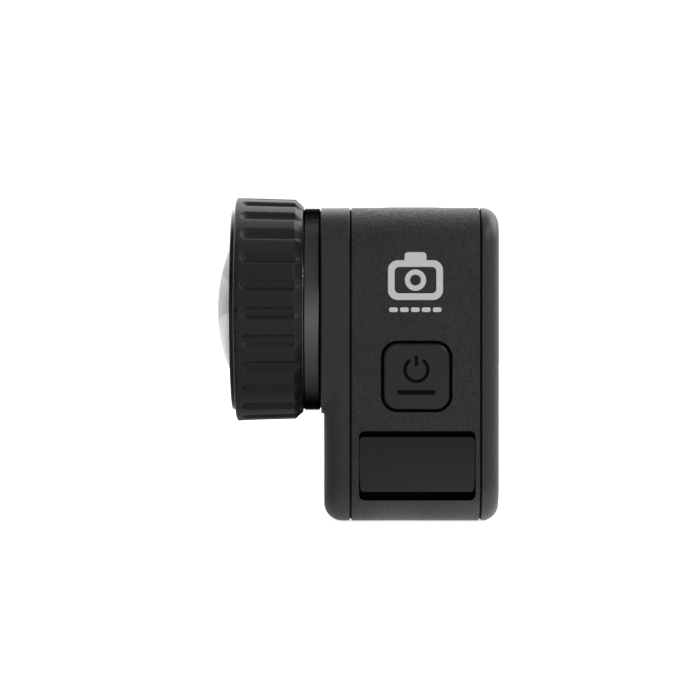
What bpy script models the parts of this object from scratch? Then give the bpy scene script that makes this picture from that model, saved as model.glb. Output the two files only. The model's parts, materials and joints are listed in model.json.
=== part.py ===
"""Compact action camera with a twist-on wide lens module, as separate pieces.

The constants are in millimetres and the scene is in metres. +X is the side with the mode
button, -Y is the front with the lens and +Z is up. The origin is the middle of the base face,
which the camera stands on. A forward distance is measured from the origin along -Y.
"""
import math

import bmesh
import bpy
from mathutils import Matrix, Vector

MM = 0.001

# Body
BODY_WIDTH = 71.0
BODY_HEIGHT = 55.0
BODY_DEPTH = 30.6
CORNER_ROUND = 6.5
RIM_ROUND = 3.2
FRONT_SHELL_DEPTH = 4.65
REAR_SHELL_DEPTH = 3.25
WALL = 2.0
PANEL_WALL = 1.8
FIT = 0.3
SEAM = 0.3
SEAL_THICK = 0.8
SEAL_DEPTH = 2.0

# Lens module, about its own axis
LENS_TO_SIDE = 18.5
LENS_TO_TOP = 17.7
BOSS_HALF = 18.45
BOSS_CORNER = 5.0
BOSS_PROUD = 0.5
BOSS_TRIM = 0.04
BAND_RADIUS = 18.1
BAND_LENGTH = 2.7
BARREL_RADIUS = 17.9
GRIP_WALL = 1.84
GRIP_LENGTH = 12.0
GRIP_CONE_LENGTH = 1.4
GRIP_DRAFT = 0.31
FLUTES = 25
FLUTE_PHASE = -2.3
FLUTE_WIDTH = 2.4
FLUTE_DEPTH = 0.5
FLUTE_MARGIN = 1.5
DOME_SPHERE = 29.0
DOME_THICK = 1.8
DOME_RADIUS = 16.6
DOME_PROUD = 2.85
DOME_RIM_WIDTH = 1.4
BEZEL_DEPTH = 1.1
BEZEL_INNER = 15.0
CELL_RADIUS = 14.3

# Bayonet and the camera's own lens
BAYONET_RING_OUTER = 14.3
BAYONET_LUG_INNER = 10.9
TAB_LENGTH = 1.6
TAB_THICK = 1.2
LUG_THICK = 1.9
TAB_EDGE_GAP = 0.6
TAB_FLOAT = 0.2
BAYONET_SETBACK = 0.35
MOD_FLANGE_THICK = 1.4
LENS_BARREL_RADIUS = 8.0
LENS_BARREL_LENGTH = 12.8
LENS_FLANGE_RADIUS = 9.3
LENS_SEAT_DEPTH = 2.2
ELEMENT_WALL = 1.3
BORE_WALL = 2.8

# Buttons
MODE_SIZE = 11.6
MODE_ROUND = 2.5
MODE_GAP = 0.43
MODE_CENTRE_Y = 0.85
MODE_CENTRE_Z = 25.4
SHUTTER_LENGTH = 20.0
SHUTTER_WIDTH = 13.6
SHUTTER_ROUND = 4.0
SHUTTER_PROUD = 1.6
SHUTTER_CENTRE_X = -12.0
SHUTTER_CENTRE_Y = 1.0
SHUTTER_GAP = 0.35
BUTTON_FLANGE = 1.2
BUTTON_FLANGE_THICK = 0.9
BUTTON_TRAVEL = 0.5
SWITCH_SIZE = 5.0
SWITCH_HEIGHT = 2.0

# Speaker opening on the +X side
SPEAKER_WIDTH = 20.3
SPEAKER_HEIGHT = 12.1
SPEAKER_CENTRE_Y = 0.95
SPEAKER_CENTRE_Z = 9.85
SPEAKER_TOP_SLOT = 1.05
SPEAKER_BOTTOM_SLOT = 1.4
SPEAKER_PLATE_THICK = 1.5
SPEAKER_PLATE_SUNK = 0.1
SPEAKER_PLATE_GAP = 0.12
SPEAKER_MESH_GAP = 0.9
SPEAKER_MESH_THICK = 0.4
SPEAKER_DEPTH = 5.5

# Battery, card, port and the bay that holds them
BATTERY_LENGTH = 37.0
BATTERY_THICK = 12.2
BATTERY_HEIGHT = 31.0
BATTERY_FRONT_Y = -8.3
BATTERY_BASE_Z = 9.2
BAY_WALL = 0.8
CARD_LENGTH = 15.0
CARD_WIDTH = 11.0
CARD_THICK = 1.0
PORT_WIDTH = 9.0
PORT_HEIGHT = 3.2
PORT_LENGTH = 7.4
PORT_SHEET = 0.35

# Battery door on the -X side
DOOR_MARGIN_Z = 0.5
DOOR_MARGIN_Y = 1.6
DOOR_ROUND = 3.0
HINGE_PIN_RADIUS = 0.45
HINGE_CLEARANCE = 0.2
HINGE_PIN_OVERHANG = 1.4
LATCH_WIDTH = 9.0
LATCH_HEIGHT = 8.4
LATCH_THICK = 0.7
LATCH_TONGUE = 1.4
LATCH_TRAVEL = 2.0
LATCH_SUNK = 0.2

# Folding mounting fingers
FINGER_THICK = 3.0
FINGER_WIDTH = 15.0
FINGER_BORE_RADIUS = 2.5
FINGER_REACH = 9.5
FINGER_GAP = 3.1
FINGER_SUNK = 0.3
FINGER_PIN_RADIUS = 0.7
BASE_WALL = 1.2

# Boards, displays and small parts
BOARD_THICK = 1.0
PROCESSOR_SIZE = 14.0
SPREADER_THICK = 0.8
SENSOR_BOARD_SIZE = 18.6
REAR_GLASS_WIDTH = 58.0
REAR_GLASS_HEIGHT = 43.0
GLASS_ROUND = 3.0
GLASS_THICK = 0.8
GLASS_SUNK = 0.2
LEDGE = 2.5
REAR_DISPLAY_DEPTH = 3.1
FRONT_GLASS_WIDTH = 27.0
FRONT_GLASS_HEIGHT = 23.5
FRONT_GLASS_CENTRE_Z = 38.0
FRONT_GLASS_TO_BOSS = 2.0
FRONT_DISPLAY_DEPTH = 2.6
LIGHT_RADIUS = 0.9
MICROPHONE_RADIUS = 2.2
SCREW_HEAD_RADIUS = 1.2
SCREW_HEAD_HEIGHT = 0.8
SCREW_SHANK_RADIUS = 0.5

ROUND_STEPS = 36
CORE_STEPS = 40
SMALL_STEPS = 20
CORNER_STEPS = 6
RIM_STEPS = 4
MERGE = 1e-5
SAME = 1e-7

# Planes and axes that follow from the sizes above
SIDE_X = BODY_WIDTH / 2
INNER_X = SIDE_X - WALL
FRONT_Y = -BODY_DEPTH / 2
REAR_Y = BODY_DEPTH / 2
FRONT_SEAM_Y = FRONT_Y + FRONT_SHELL_DEPTH
REAR_SEAM_Y = REAR_Y - REAR_SHELL_DEPTH
MID_LOW_Y = FRONT_SEAM_Y + SEAM / 2
MID_HIGH_Y = REAR_SEAM_Y - SEAM / 2
INNER_TOP = BODY_HEIGHT - WALL
LENS_X = SIDE_X - LENS_TO_SIDE
LENS_Z = BODY_HEIGHT - LENS_TO_TOP
LENS_AXIS = (LENS_X, 0.0, LENS_Z)

BOSS_FRONT = -FRONT_Y + BOSS_PROUD
BAND_BACK = BOSS_FRONT + FIT
BAND_FRONT = BAND_BACK + BAND_LENGTH
GRIP_BACK = BAND_FRONT + FIT
GRIP_FRONT = GRIP_BACK + GRIP_LENGTH
BARREL_FRONT = GRIP_FRONT - BEZEL_DEPTH + 0.5 - FIT
BEZEL_BACK = BARREL_FRONT + FIT
BEZEL_FRONT = BEZEL_BACK + BEZEL_DEPTH
DOME_APEX = BEZEL_FRONT + DOME_PROUD
DOME_CENTRE = DOME_APEX - DOME_SPHERE

PARTS = "action_camera"
CUTTERS = "cutters"

# Finishes: colour, roughness, metallic
MOULDED = ((0.030, 0.030, 0.031), 0.55, 0.0)
SATIN = ((0.040, 0.040, 0.041), 0.35, 0.0)
RUBBER = ((0.018, 0.018, 0.018), 0.75, 0.0)
GLOSS = ((0.008, 0.008, 0.008), 0.12, 0.0)
GLASS = ((0.65, 0.70, 0.74), 0.05, 0.0)
STEEL = ((0.55, 0.55, 0.56), 0.30, 1.0)
ALUMINIUM = ((0.75, 0.76, 0.77), 0.40, 1.0)
BOARD = ((0.02, 0.10, 0.05), 0.50, 0.0)
CHIP = ((0.03, 0.03, 0.035), 0.40, 0.0)
LABEL = ((0.45, 0.46, 0.48), 0.60, 0.0)
TAB = ((0.05, 0.22, 0.45), 0.70, 0.0)
SCREEN = ((0.01, 0.012, 0.016), 0.15, 0.0)
LIGHT = ((0.60, 0.10, 0.08), 0.30, 0.0)


# ---- small tools ----

def clear_scene():
    """Remove whatever the file opened with."""
    for thing in list(bpy.data.objects):
        bpy.data.objects.remove(thing, do_unlink=True)


def collection(name):
    """The named collection, made and linked when it is first asked for."""
    found = bpy.data.collections.get(name)
    if found is None:
        found = bpy.data.collections.new(name)
        bpy.context.scene.collection.children.link(found)
    return found


def metres(point):
    """A point in millimetres as a vector in metres."""
    return Vector([value * MM for value in point])


def make_material(name, finish):
    """A Principled material of the piece's own."""
    colour, roughness, metallic = finish
    material = bpy.data.materials.new(name)
    material.use_nodes = True
    shader = material.node_tree.nodes["Principled BSDF"]
    shader.inputs["Base Color"].default_value = (*colour, 1.0)
    shader.inputs["Roughness"].default_value = roughness
    shader.inputs["Metallic"].default_value = metallic
    return material


def pivot(name, at, under=None):
    """An empty on a joint's axis, which the moving pieces hang from."""
    empty = bpy.data.objects.new(name, None)
    empty.empty_display_size = 5 * MM
    empty.location = metres(at)
    if under is not None:
        empty.parent = under
        empty.location -= under.location
    collection(PARTS).objects.link(empty)
    return empty


def world_place(thing):
    """Where an empty stands in the world, through its parents."""
    place = thing.location.copy()
    if thing.parent is not None:
        place += world_place(thing.parent)
    return place


def add_piece(name, mesh_source, finish, at=(0.0, 0.0, 0.0), under=None):
    """A piece from a bmesh drawn in world space, with its own origin at a given point."""
    origin = world_place(under) if under is not None else metres(at)
    bmesh.ops.translate(mesh_source, vec=-origin, verts=mesh_source.verts)
    mesh = bpy.data.meshes.new(name)
    mesh_source.to_mesh(mesh)
    mesh_source.free()
    mesh.set_sharp_from_angle(angle=math.radians(35))
    piece = bpy.data.objects.new(name, mesh)
    if under is not None:
        piece.parent = under
    else:
        piece.location = origin
    piece.data.materials.append(make_material(name, finish))
    collection(PARTS).objects.link(piece)
    return piece


def add_cutter(name, mesh_source):
    """A guide solid that other pieces are cut with or joined to."""
    mesh = bpy.data.meshes.new(name)
    mesh_source.to_mesh(mesh)
    mesh_source.free()
    cutter = bpy.data.objects.new(name, mesh)
    hide_as_cutter(cutter)
    collection(CUTTERS).objects.link(cutter)
    return cutter


def hide_as_cutter(cutter):
    """Mark an object as a guide and not a piece."""
    cutter.hide_render = True
    cutter.display_type = "WIRE"


def combine(piece, other, operation):
    """One exact Boolean on a piece."""
    modifier = piece.modifiers.new(operation.lower(), "BOOLEAN")
    modifier.operation = operation
    modifier.solver = "EXACT"
    modifier.object = other


def cut(piece, name, mesh_source):
    """Cut a piece with a solid drawn for that."""
    combine(piece, add_cutter(name, mesh_source), "DIFFERENCE")


def join(piece, name, mesh_source):
    """Join a solid to a piece."""
    combine(piece, add_cutter(name, mesh_source), "UNION")


def box(low, high):
    """A plain box between two opposite corners."""
    low, high = metres(low), metres(high)
    solid = bmesh.new()
    place = Matrix.Translation((low + high) / 2) @ Matrix.Diagonal((*(high - low), 1.0))
    bmesh.ops.create_cube(solid, size=1.0, matrix=place)
    return solid


def bevel_edges(solid, chosen, radius, steps):
    """Round the chosen edges."""
    bmesh.ops.bevel(solid, geom=chosen, offset=radius * MM, offset_type="OFFSET",
                    segments=steps, profile=0.5, affect="EDGES", clamp_overlap=True)


def edges_along(solid, axis, keep=None):
    """The edges that run along one axis, or those of them that pass a test on their middle."""
    found = []
    for edge in solid.edges:
        run = edge.verts[1].co - edge.verts[0].co
        middle = (edge.verts[0].co + edge.verts[1].co) / 2
        if abs(run[axis]) > 0.999 * run.length and (keep is None or keep(middle)):
            found.append(edge)
    return found


def rounded_box(low, high, axis, corner, steps=CORNER_STEPS, rim_low=0.0, rim_high=0.0):
    """A box rounded about one axis, and if wanted round the rims of its two ends."""
    solid = box(low, high)
    bevel_edges(solid, edges_along(solid, axis), corner, steps)
    for level, radius in ((low[axis], rim_low), (high[axis], rim_high)):
        if radius > 0:
            rim = [edge for edge in solid.edges
                   if all(abs(v.co[axis] - level * MM) < SAME for v in edge.verts)]
            bevel_edges(solid, rim, radius, RIM_STEPS)
    return solid


def rod(radius, start, end, steps=SMALL_STEPS):
    """A solid cylinder from one point to another."""
    start, end = metres(start), metres(end)
    run = end - start
    turn = run.to_track_quat("Z", "Y").to_matrix().to_4x4()
    solid = bmesh.new()
    bmesh.ops.create_cone(solid, cap_ends=True, segments=steps, radius1=radius * MM,
                          radius2=radius * MM, depth=run.length,
                          matrix=Matrix.Translation((start + end) / 2) @ turn)
    return solid


def lens_rod(radius, back, front, steps=ROUND_STEPS):
    """A solid cylinder on the lens axis between two forward distances."""
    return rod(radius, (LENS_X, -back, LENS_Z), (LENS_X, -front, LENS_Z), steps)


def body_outline(low_y, high_y, inset, rim_low=0.0, rim_high=0.0):
    """The body's rounded outline, brought in on every side, between two depths."""
    low = (-SIDE_X + inset, low_y, inset)
    high = (SIDE_X - inset, high_y, BODY_HEIGHT - inset)
    return rounded_box(low, high, 1, CORNER_ROUND - inset, rim_low=rim_low, rim_high=rim_high)


def turned(name, profile, finish, under=None, steps=ROUND_STEPS):
    """A piece turned on the lens axis from (radius, forward) points.

    The points run down the outer side. A profile that starts on the axis ends on it.
    """
    closed = profile[0][0] > 0
    outline = bmesh.new()
    points = [outline.verts.new((radius * MM, 0.0, forward * MM)) for radius, forward in profile]
    for first, second in zip(points, points[1:]):
        outline.edges.new((first, second))
    if closed:
        outline.edges.new((points[-1], points[0]))
    mesh = bpy.data.meshes.new(name)
    outline.to_mesh(mesh)
    outline.free()
    piece = bpy.data.objects.new(name, mesh)
    piece.rotation_euler = (math.radians(90), 0.0, 0.0)
    if under is not None:
        piece.parent = under
        piece.location = metres(LENS_AXIS) - world_place(under)
    else:
        piece.location = metres(LENS_AXIS)
    piece.data.materials.append(make_material(name, finish))
    collection(PARTS).objects.link(piece)
    screw = piece.modifiers.new("turn", "SCREW")
    screw.axis = "Z"
    screw.angle = math.radians(360)
    screw.steps = steps
    screw.render_steps = steps
    screw.use_merge_vertices = True
    screw.merge_threshold = MERGE
    screw.use_smooth_shade = True
    return piece


def arc(centre, radius, start_r, end_r, count):
    """Points on a sphere's outline, by their distance from the axis."""
    points = []
    for step in range(count + 1):
        across = start_r + (end_r - start_r) * step / count
        points.append((across, centre + math.sqrt(radius ** 2 - across ** 2)))
    return points


# ---- outer shells ----

def make_front_shell():
    """The front cover with its raised square boss for the lens."""
    solid = body_outline(FRONT_Y, FRONT_SEAM_Y - SEAM / 2, 0.0, rim_low=RIM_ROUND)
    shell = add_piece("front_shell", solid, MOULDED)
    boss = add_cutter("boss", rounded_box((LENS_X - BOSS_HALF, -BOSS_FRONT, LENS_Z - BOSS_HALF),
                                          (LENS_X + BOSS_HALF, FRONT_SEAM_Y - SEAM, LENS_Z + BOSS_HALF),
                                          1, BOSS_CORNER))
    outline = body_outline(FRONT_Y - BOSS_PROUD - 1, 0.0, BOSS_TRIM)
    combine(boss, add_cutter("boss_outline", outline), "INTERSECT")
    combine(shell, boss, "UNION")
    cavity = body_outline(FRONT_Y + PANEL_WALL, 0.0, WALL, rim_low=1.2)
    cut(shell, "front_cavity", cavity)
    hole = lens_rod(BAYONET_RING_OUTER + FIT, 0.0, BOSS_FRONT + 1)
    cut(shell, "lens_hole", hole)
    cut_glass_seat(shell, "front_window", FRONT_Y, -1, *front_glass_frame())
    light = rod(LIGHT_RADIUS + FIT, (front_light_x(), FRONT_Y - 1, light_z()),
                (front_light_x(), 0.0, light_z()))
    cut(shell, "front_light_hole", light)
    microphone = rod(MICROPHONE_RADIUS + FIT, (microphone_x(), FRONT_Y - 1, light_z()),
                     (microphone_x(), 0.0, light_z()))
    cut(shell, "microphone_hole", microphone)


def make_mid_housing():
    """The ring-shaped middle of the body, open at the front and the back."""
    housing = add_piece("mid_housing", body_outline(MID_LOW_Y, MID_HIGH_Y, 0.0), MOULDED)
    cut(housing, "mid_cavity", body_outline(MID_LOW_Y - 1, MID_HIGH_Y + 1, WALL))
    low, high = mode_frame(MODE_GAP)
    opening = rounded_box((INNER_X - 1, low[0], low[1]), (SIDE_X + 1, high[0], high[1]),
                          0, MODE_ROUND + MODE_GAP)
    cut(housing, "mode_opening", opening)
    low, high = speaker_frame()
    opening = rounded_box((INNER_X - 1, low[0], low[1]), (SIDE_X + 1, high[0], high[1]), 0, 1.0,
                          steps=3)
    cut(housing, "speaker_opening", opening)
    low, high = shutter_frame(SHUTTER_GAP)
    opening = rounded_box((low[0], low[1], INNER_TOP - 1), (high[0], high[1], BODY_HEIGHT + 1),
                          2, SHUTTER_ROUND + SHUTTER_GAP)
    cut(housing, "shutter_opening", opening)
    low, high = door_frame()
    opening = box((-SIDE_X - 1, low[0] - FIT, low[1] - FIT),
                  (-INNER_X + 1, high[0] + FIT, high[1] + FIT))
    lower = edges_along(opening, 0, lambda middle: middle.z < BODY_HEIGHT / 2 * MM)
    bevel_edges(opening, lower, DOOR_ROUND + FIT, 4)
    cut(housing, "door_opening", opening)
    cut(housing, "latch_keeper", latch_pocket(low[1] - LATCH_TONGUE - FIT, low[1] + 1))
    x, z = hinge_axis()
    hole = rod(HINGE_PIN_RADIUS + HINGE_CLEARANCE, (x, low[0] - HINGE_PIN_OVERHANG, z),
               (x, high[0] + HINGE_PIN_OVERHANG, z), 12)
    cut(housing, "hinge_pin_hole", hole)
    half_x, half_y = base_half_sizes()
    cut(housing, "base_opening", rounded_box((-half_x - FIT, -half_y - FIT, -1),
                                             (half_x + FIT, half_y + FIT, WALL + 1), 2, 2.0 + FIT,
                                             steps=3))


def make_rear_shell():
    """The rear cover, with a seat for the touch glass and a window for its display."""
    solid = body_outline(REAR_SEAM_Y + SEAM / 2, REAR_Y, 0.0, rim_high=RIM_ROUND)
    shell = add_piece("rear_shell", solid, MOULDED)
    cut(shell, "rear_cavity", body_outline(0.0, REAR_Y - PANEL_WALL, WALL, rim_high=1.0))
    cut_glass_seat(shell, "rear_glass", REAR_Y, 1, *rear_glass_frame())
    x, z = rear_light_place()
    cut(shell, "rear_light_hole", rod(LIGHT_RADIUS + FIT, (x, 0.0, z), (x, REAR_Y + 1, z)))


def cut_glass_seat(shell, name, face_y, outward, low, high):
    """A shallow seat for a glass plate and the window behind it."""
    seat_floor = face_y - outward * (GLASS_SUNK + GLASS_THICK + FIT)
    beyond = face_y + outward
    near, far = sorted((seat_floor, beyond))
    seat = rounded_box((low[0] - FIT, near, low[1] - FIT), (high[0] + FIT, far, high[1] + FIT),
                       1, GLASS_ROUND + FIT, steps=4)
    cut(shell, name + "_seat", seat)
    near, far = sorted((0.0, beyond))
    window = rounded_box((low[0] + LEDGE, near, low[1] + LEDGE),
                         (high[0] - LEDGE, far, high[1] - LEDGE), 1, 1.0, steps=2)
    cut(shell, name + "_window", window)


def seal_ring(name, middle_y):
    """A rubber frame inside a seam, clear of the walls on both sides."""
    low, high = middle_y - SEAL_DEPTH / 2, middle_y + SEAL_DEPTH / 2
    ring = add_piece(name, body_outline(low, high, WALL + FIT), RUBBER)
    cut(ring, name + "_inside", body_outline(low - 1, high + 1, WALL + FIT + SEAL_THICK))
    return ring


# ---- where openings and plates lie ----

def centred(middle, size):
    """The two ends of a length about its middle."""
    return middle - size / 2, middle + size / 2


def frame_of(centre_a, size_a, centre_b, size_b):
    """Low and high corners of a rectangle."""
    low_a, high_a = centred(centre_a, size_a)
    low_b, high_b = centred(centre_b, size_b)
    return (low_a, low_b), (high_a, high_b)


def mode_frame(gap=0.0):
    """The mode button's outline on the side, as (y, z) corners."""
    size = MODE_SIZE + 2 * gap
    return frame_of(MODE_CENTRE_Y, size, MODE_CENTRE_Z, size)


def shutter_frame(gap=0.0):
    """The shutter button's outline on the top, as (x, y) corners."""
    return frame_of(SHUTTER_CENTRE_X, SHUTTER_LENGTH + 2 * gap,
                    SHUTTER_CENTRE_Y, SHUTTER_WIDTH + 2 * gap)


def speaker_frame():
    """The speaker opening on the side, as (y, z) corners."""
    return frame_of(SPEAKER_CENTRE_Y, SPEAKER_WIDTH, SPEAKER_CENTRE_Z, SPEAKER_HEIGHT)


def rear_glass_frame():
    """The touch glass, as (x, z) corners."""
    return frame_of(0.0, REAR_GLASS_WIDTH, BODY_HEIGHT / 2, REAR_GLASS_HEIGHT)


def front_glass_frame():
    """The front window, beside the lens boss, as (x, z) corners."""
    right = LENS_X - BOSS_HALF - FRONT_GLASS_TO_BOSS
    return frame_of(right - FRONT_GLASS_WIDTH / 2, FRONT_GLASS_WIDTH,
                    FRONT_GLASS_CENTRE_Z, FRONT_GLASS_HEIGHT)


def door_frame():
    """The battery door, as (y, z) corners, between the body's rounded edges."""
    low = (MID_LOW_Y + DOOR_MARGIN_Y + FIT, CORNER_ROUND + DOOR_MARGIN_Z + 2.0)
    high = (MID_HIGH_Y - DOOR_MARGIN_Y - FIT, BODY_HEIGHT - CORNER_ROUND - DOOR_MARGIN_Z)
    return low, high


def hinge_axis():
    """The battery door's hinge, as (x, z)."""
    return -SIDE_X + WALL / 2, door_frame()[1][1] - WALL / 2


def latch_y():
    """The two sides of the latch."""
    low, high = door_frame()
    return centred((low[0] + high[0]) / 2, LATCH_WIDTH)


def latch_pocket(low_z, high_z):
    """The shallow way that the latch slides in, open outwards."""
    left, right = latch_y()
    floor = -SIDE_X + LATCH_SUNK + LATCH_THICK + FIT
    return box((-SIDE_X - 1, left - FIT, low_z), (floor, right + FIT, high_z))


def finger_hinge_x():
    """A finger's hinge, so that unfolded fingers leave their gap between them."""
    return FINGER_GAP / 2 + FINGER_THICK / 2


def finger_hinge_z():
    """The hinge's height, in the middle of a folded finger."""
    return FINGER_SUNK + FINGER_THICK / 2


def base_half_sizes():
    """Half the finger base's length and width."""
    reach = finger_hinge_x() + FINGER_REACH + FINGER_WIDTH / 2
    return reach + FIT + BASE_WALL, FINGER_WIDTH / 2 + FIT + BASE_WALL


def base_top():
    """The top of the finger base."""
    return FINGER_SUNK + FINGER_THICK + FIT + BASE_WALL


def front_light_x():
    """The front status light, near the side away from the lens."""
    return -SIDE_X + 8.0


def microphone_x():
    """The front microphone, under the lens."""
    return SIDE_X - 9.0


def light_z():
    """The height of the front light and the microphone."""
    return CORNER_ROUND + 4.0


def rear_light_place():
    """The rear status light, beside the top of the touch glass."""
    low, high = rear_glass_frame()
    return high[0] + FIT + 1.6, high[1] - 6.0


# ---- the camera's own lens ----

def make_camera_lens():
    """The bayonet ring, the barrel, its two elements and the image sensor."""
    back = -FRONT_SEAM_Y + BAYONET_SETBACK
    front = BOSS_FRONT - FIT
    tab_back = back + TAB_FLOAT
    lug_back = tab_back + TAB_THICK + FIT
    lug_front = lug_back + LUG_THICK
    inner = BAYONET_LUG_INNER + TAB_LENGTH
    ring = turned("bayonet_ring", [(inner, front), (BAYONET_RING_OUTER, front),
                                   (BAYONET_RING_OUTER, back), (inner, back),
                                   (inner, lug_back), (BAYONET_LUG_INNER, lug_back),
                                   (BAYONET_LUG_INNER, lug_front), (inner, lug_front)], SATIN)
    for side, name in ((1, "lug_gap_top"), (-1, "lug_gap_bottom")):
        gap = add_cutter(name, quarter_wedge(side, inner, back - 1, front + 1, FIT))
        core = add_cutter(name + "_core", lens_rod(inner + FIT, back - 2, front + 2, CORE_STEPS))
        combine(gap, core, "INTERSECT")
        combine(ring, gap, "DIFFERENCE")

    radius = LENS_BARREL_RADIUS
    barrel_front = front - FIT
    barrel_back = barrel_front - LENS_BARREL_LENGTH
    seat = barrel_front - LENS_SEAT_DEPTH
    element = radius - ELEMENT_WALL
    bore = radius - BORE_WALL
    turned("camera_lens_barrel", [(element, barrel_front), (radius, barrel_front),
                                  (radius, barrel_back + 1.6), (LENS_FLANGE_RADIUS, barrel_back + 1.6),
                                  (LENS_FLANGE_RADIUS, barrel_back), (bore, barrel_back),
                                  (bore, seat), (element, seat)], MOULDED, steps=32)
    edge = element - FIT
    sphere = 18.0
    crown = barrel_front + 0.6
    outer = arc(crown - sphere, sphere, 0.0, edge, 6)
    turned("camera_front_element", outer + [(edge, seat + FIT), (0.0, seat + FIT)], GLASS, steps=32)
    edge = bore - FIT
    turned("camera_inner_element", [(0.0, seat - 3.0), (edge, seat - 3.6), (edge, seat - 5.0),
                                    (0.0, seat - 5.0)], GLASS, steps=24)

    board_front_y = -barrel_back + FIT
    half = SENSOR_BOARD_SIZE / 2
    board = box((LENS_X - half, board_front_y, LENS_Z - half),
                (LENS_X + half, board_front_y + BOARD_THICK, LENS_Z + half))
    add_piece("sensor_board", board, BOARD)
    sensor = box((LENS_X - 3.2, board_front_y - FIT - 1.1, LENS_Z - 2.4),
                 (LENS_X + 3.2, board_front_y - FIT, LENS_Z + 2.4))
    add_piece("image_sensor", sensor, SCREEN)


def quarter_wedge(side, reach, back, front, shift):
    """A square bar with one edge on the lens axis, which covers a quarter turn about +Z or -Z."""
    width = 2.0 * reach
    solid = box((0.0, -front, 0.0), (width, -back, width))
    turn = Matrix.Rotation(math.radians(-45 if side > 0 else 135), 4, "Y")
    bmesh.ops.transform(solid, matrix=turn, verts=solid.verts)
    move = metres((LENS_X, 0.0, LENS_Z - side * shift))
    bmesh.ops.translate(solid, vec=move, verts=solid.verts)
    return solid


# ---- the lens module ----

def make_lens_module():
    """Everything that turns with the grip."""
    axis = pivot("mod_twist_axis", LENS_AXIS)
    make_mod_casing(axis)
    make_mod_glass(axis)
    make_mod_bayonet(axis)


def make_mod_casing(axis):
    """The barrel with its smooth band, the fluted rubber grip and the gloss bezel."""
    inner = CELL_RADIUS + FIT
    seat_radius = DOME_RADIUS + FIT
    turned("mod_barrel", [(seat_radius, BARREL_FRONT), (BARREL_RADIUS, BARREL_FRONT),
                          (BARREL_RADIUS, BAND_FRONT + 0.15), (BAND_RADIUS, BAND_FRONT),
                          (BAND_RADIUS, BAND_BACK), (inner, BAND_BACK),
                          (inner, seal_floor()), (seat_radius, seal_floor())], SATIN, axis)
    hole = BARREL_RADIUS + FIT
    small = BAND_RADIUS + 0.35
    back_radius = hole + GRIP_WALL - GRIP_DRAFT
    front_radius = hole + GRIP_WALL
    grip = turned("mod_grip_ring", [(hole, GRIP_FRONT), (front_radius - 0.4, GRIP_FRONT),
                                    (front_radius, GRIP_FRONT - 0.4),
                                    (back_radius, GRIP_BACK + GRIP_CONE_LENGTH),
                                    (small, GRIP_BACK), (hole, GRIP_BACK)],
                  RUBBER, axis, steps=3 * FLUTES)
    cut(grip, "flutes", flute_solids(back_radius, front_radius))
    lip = BEZEL_INNER
    outer = BAND_RADIUS - 0.1
    turned("mod_bezel_ring", [(lip, BEZEL_FRONT - 0.65), (outer - 1.4, BEZEL_FRONT - 0.1),
                              (outer - 0.6, BEZEL_FRONT), (outer - 0.15, BEZEL_FRONT - 0.15),
                              (outer, BEZEL_FRONT - 0.5), (outer, BEZEL_BACK),
                              (outer - 1.0, BEZEL_BACK), (lip, BEZEL_BACK + 0.15)], GLOSS, axis)


def flute_solids(back_radius, front_radius):
    """Rods that sink one shallow channel each into the grip, as one cutter."""
    half = FLUTE_WIDTH / 2
    radius = (half ** 2 + FLUTE_DEPTH ** 2) / (2 * FLUTE_DEPTH)
    back = GRIP_BACK + GRIP_CONE_LENGTH - 0.4
    front = GRIP_FRONT - FLUTE_MARGIN
    solids = bmesh.new()
    for number in range(FLUTES):
        angle = math.radians(FLUTE_PHASE + 360.0 * number / FLUTES)
        ends = []
        for surface, forward in ((back_radius, back), (front_radius, front)):
            reach = surface + radius - FLUTE_DEPTH
            ends.append((LENS_X + reach * math.cos(angle), -forward, LENS_Z + reach * math.sin(angle)))
        one = rod(radius, ends[0], ends[1], 14)
        mesh = bpy.data.meshes.new("flute")
        one.to_mesh(mesh)
        one.free()
        solids.from_mesh(mesh)
        bpy.data.meshes.remove(mesh)
    return solids


def dome_rim():
    """Forward distance of the dome's flat rim."""
    return DOME_CENTRE + math.sqrt((DOME_SPHERE - DOME_THICK) ** 2 - (DOME_RADIUS - DOME_RIM_WIDTH) ** 2)


def seal_floor():
    """Forward distance of the barrel's ledge under the dome's seal."""
    return dome_rim() - FIT - SEAL_THICK - FIT


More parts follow.
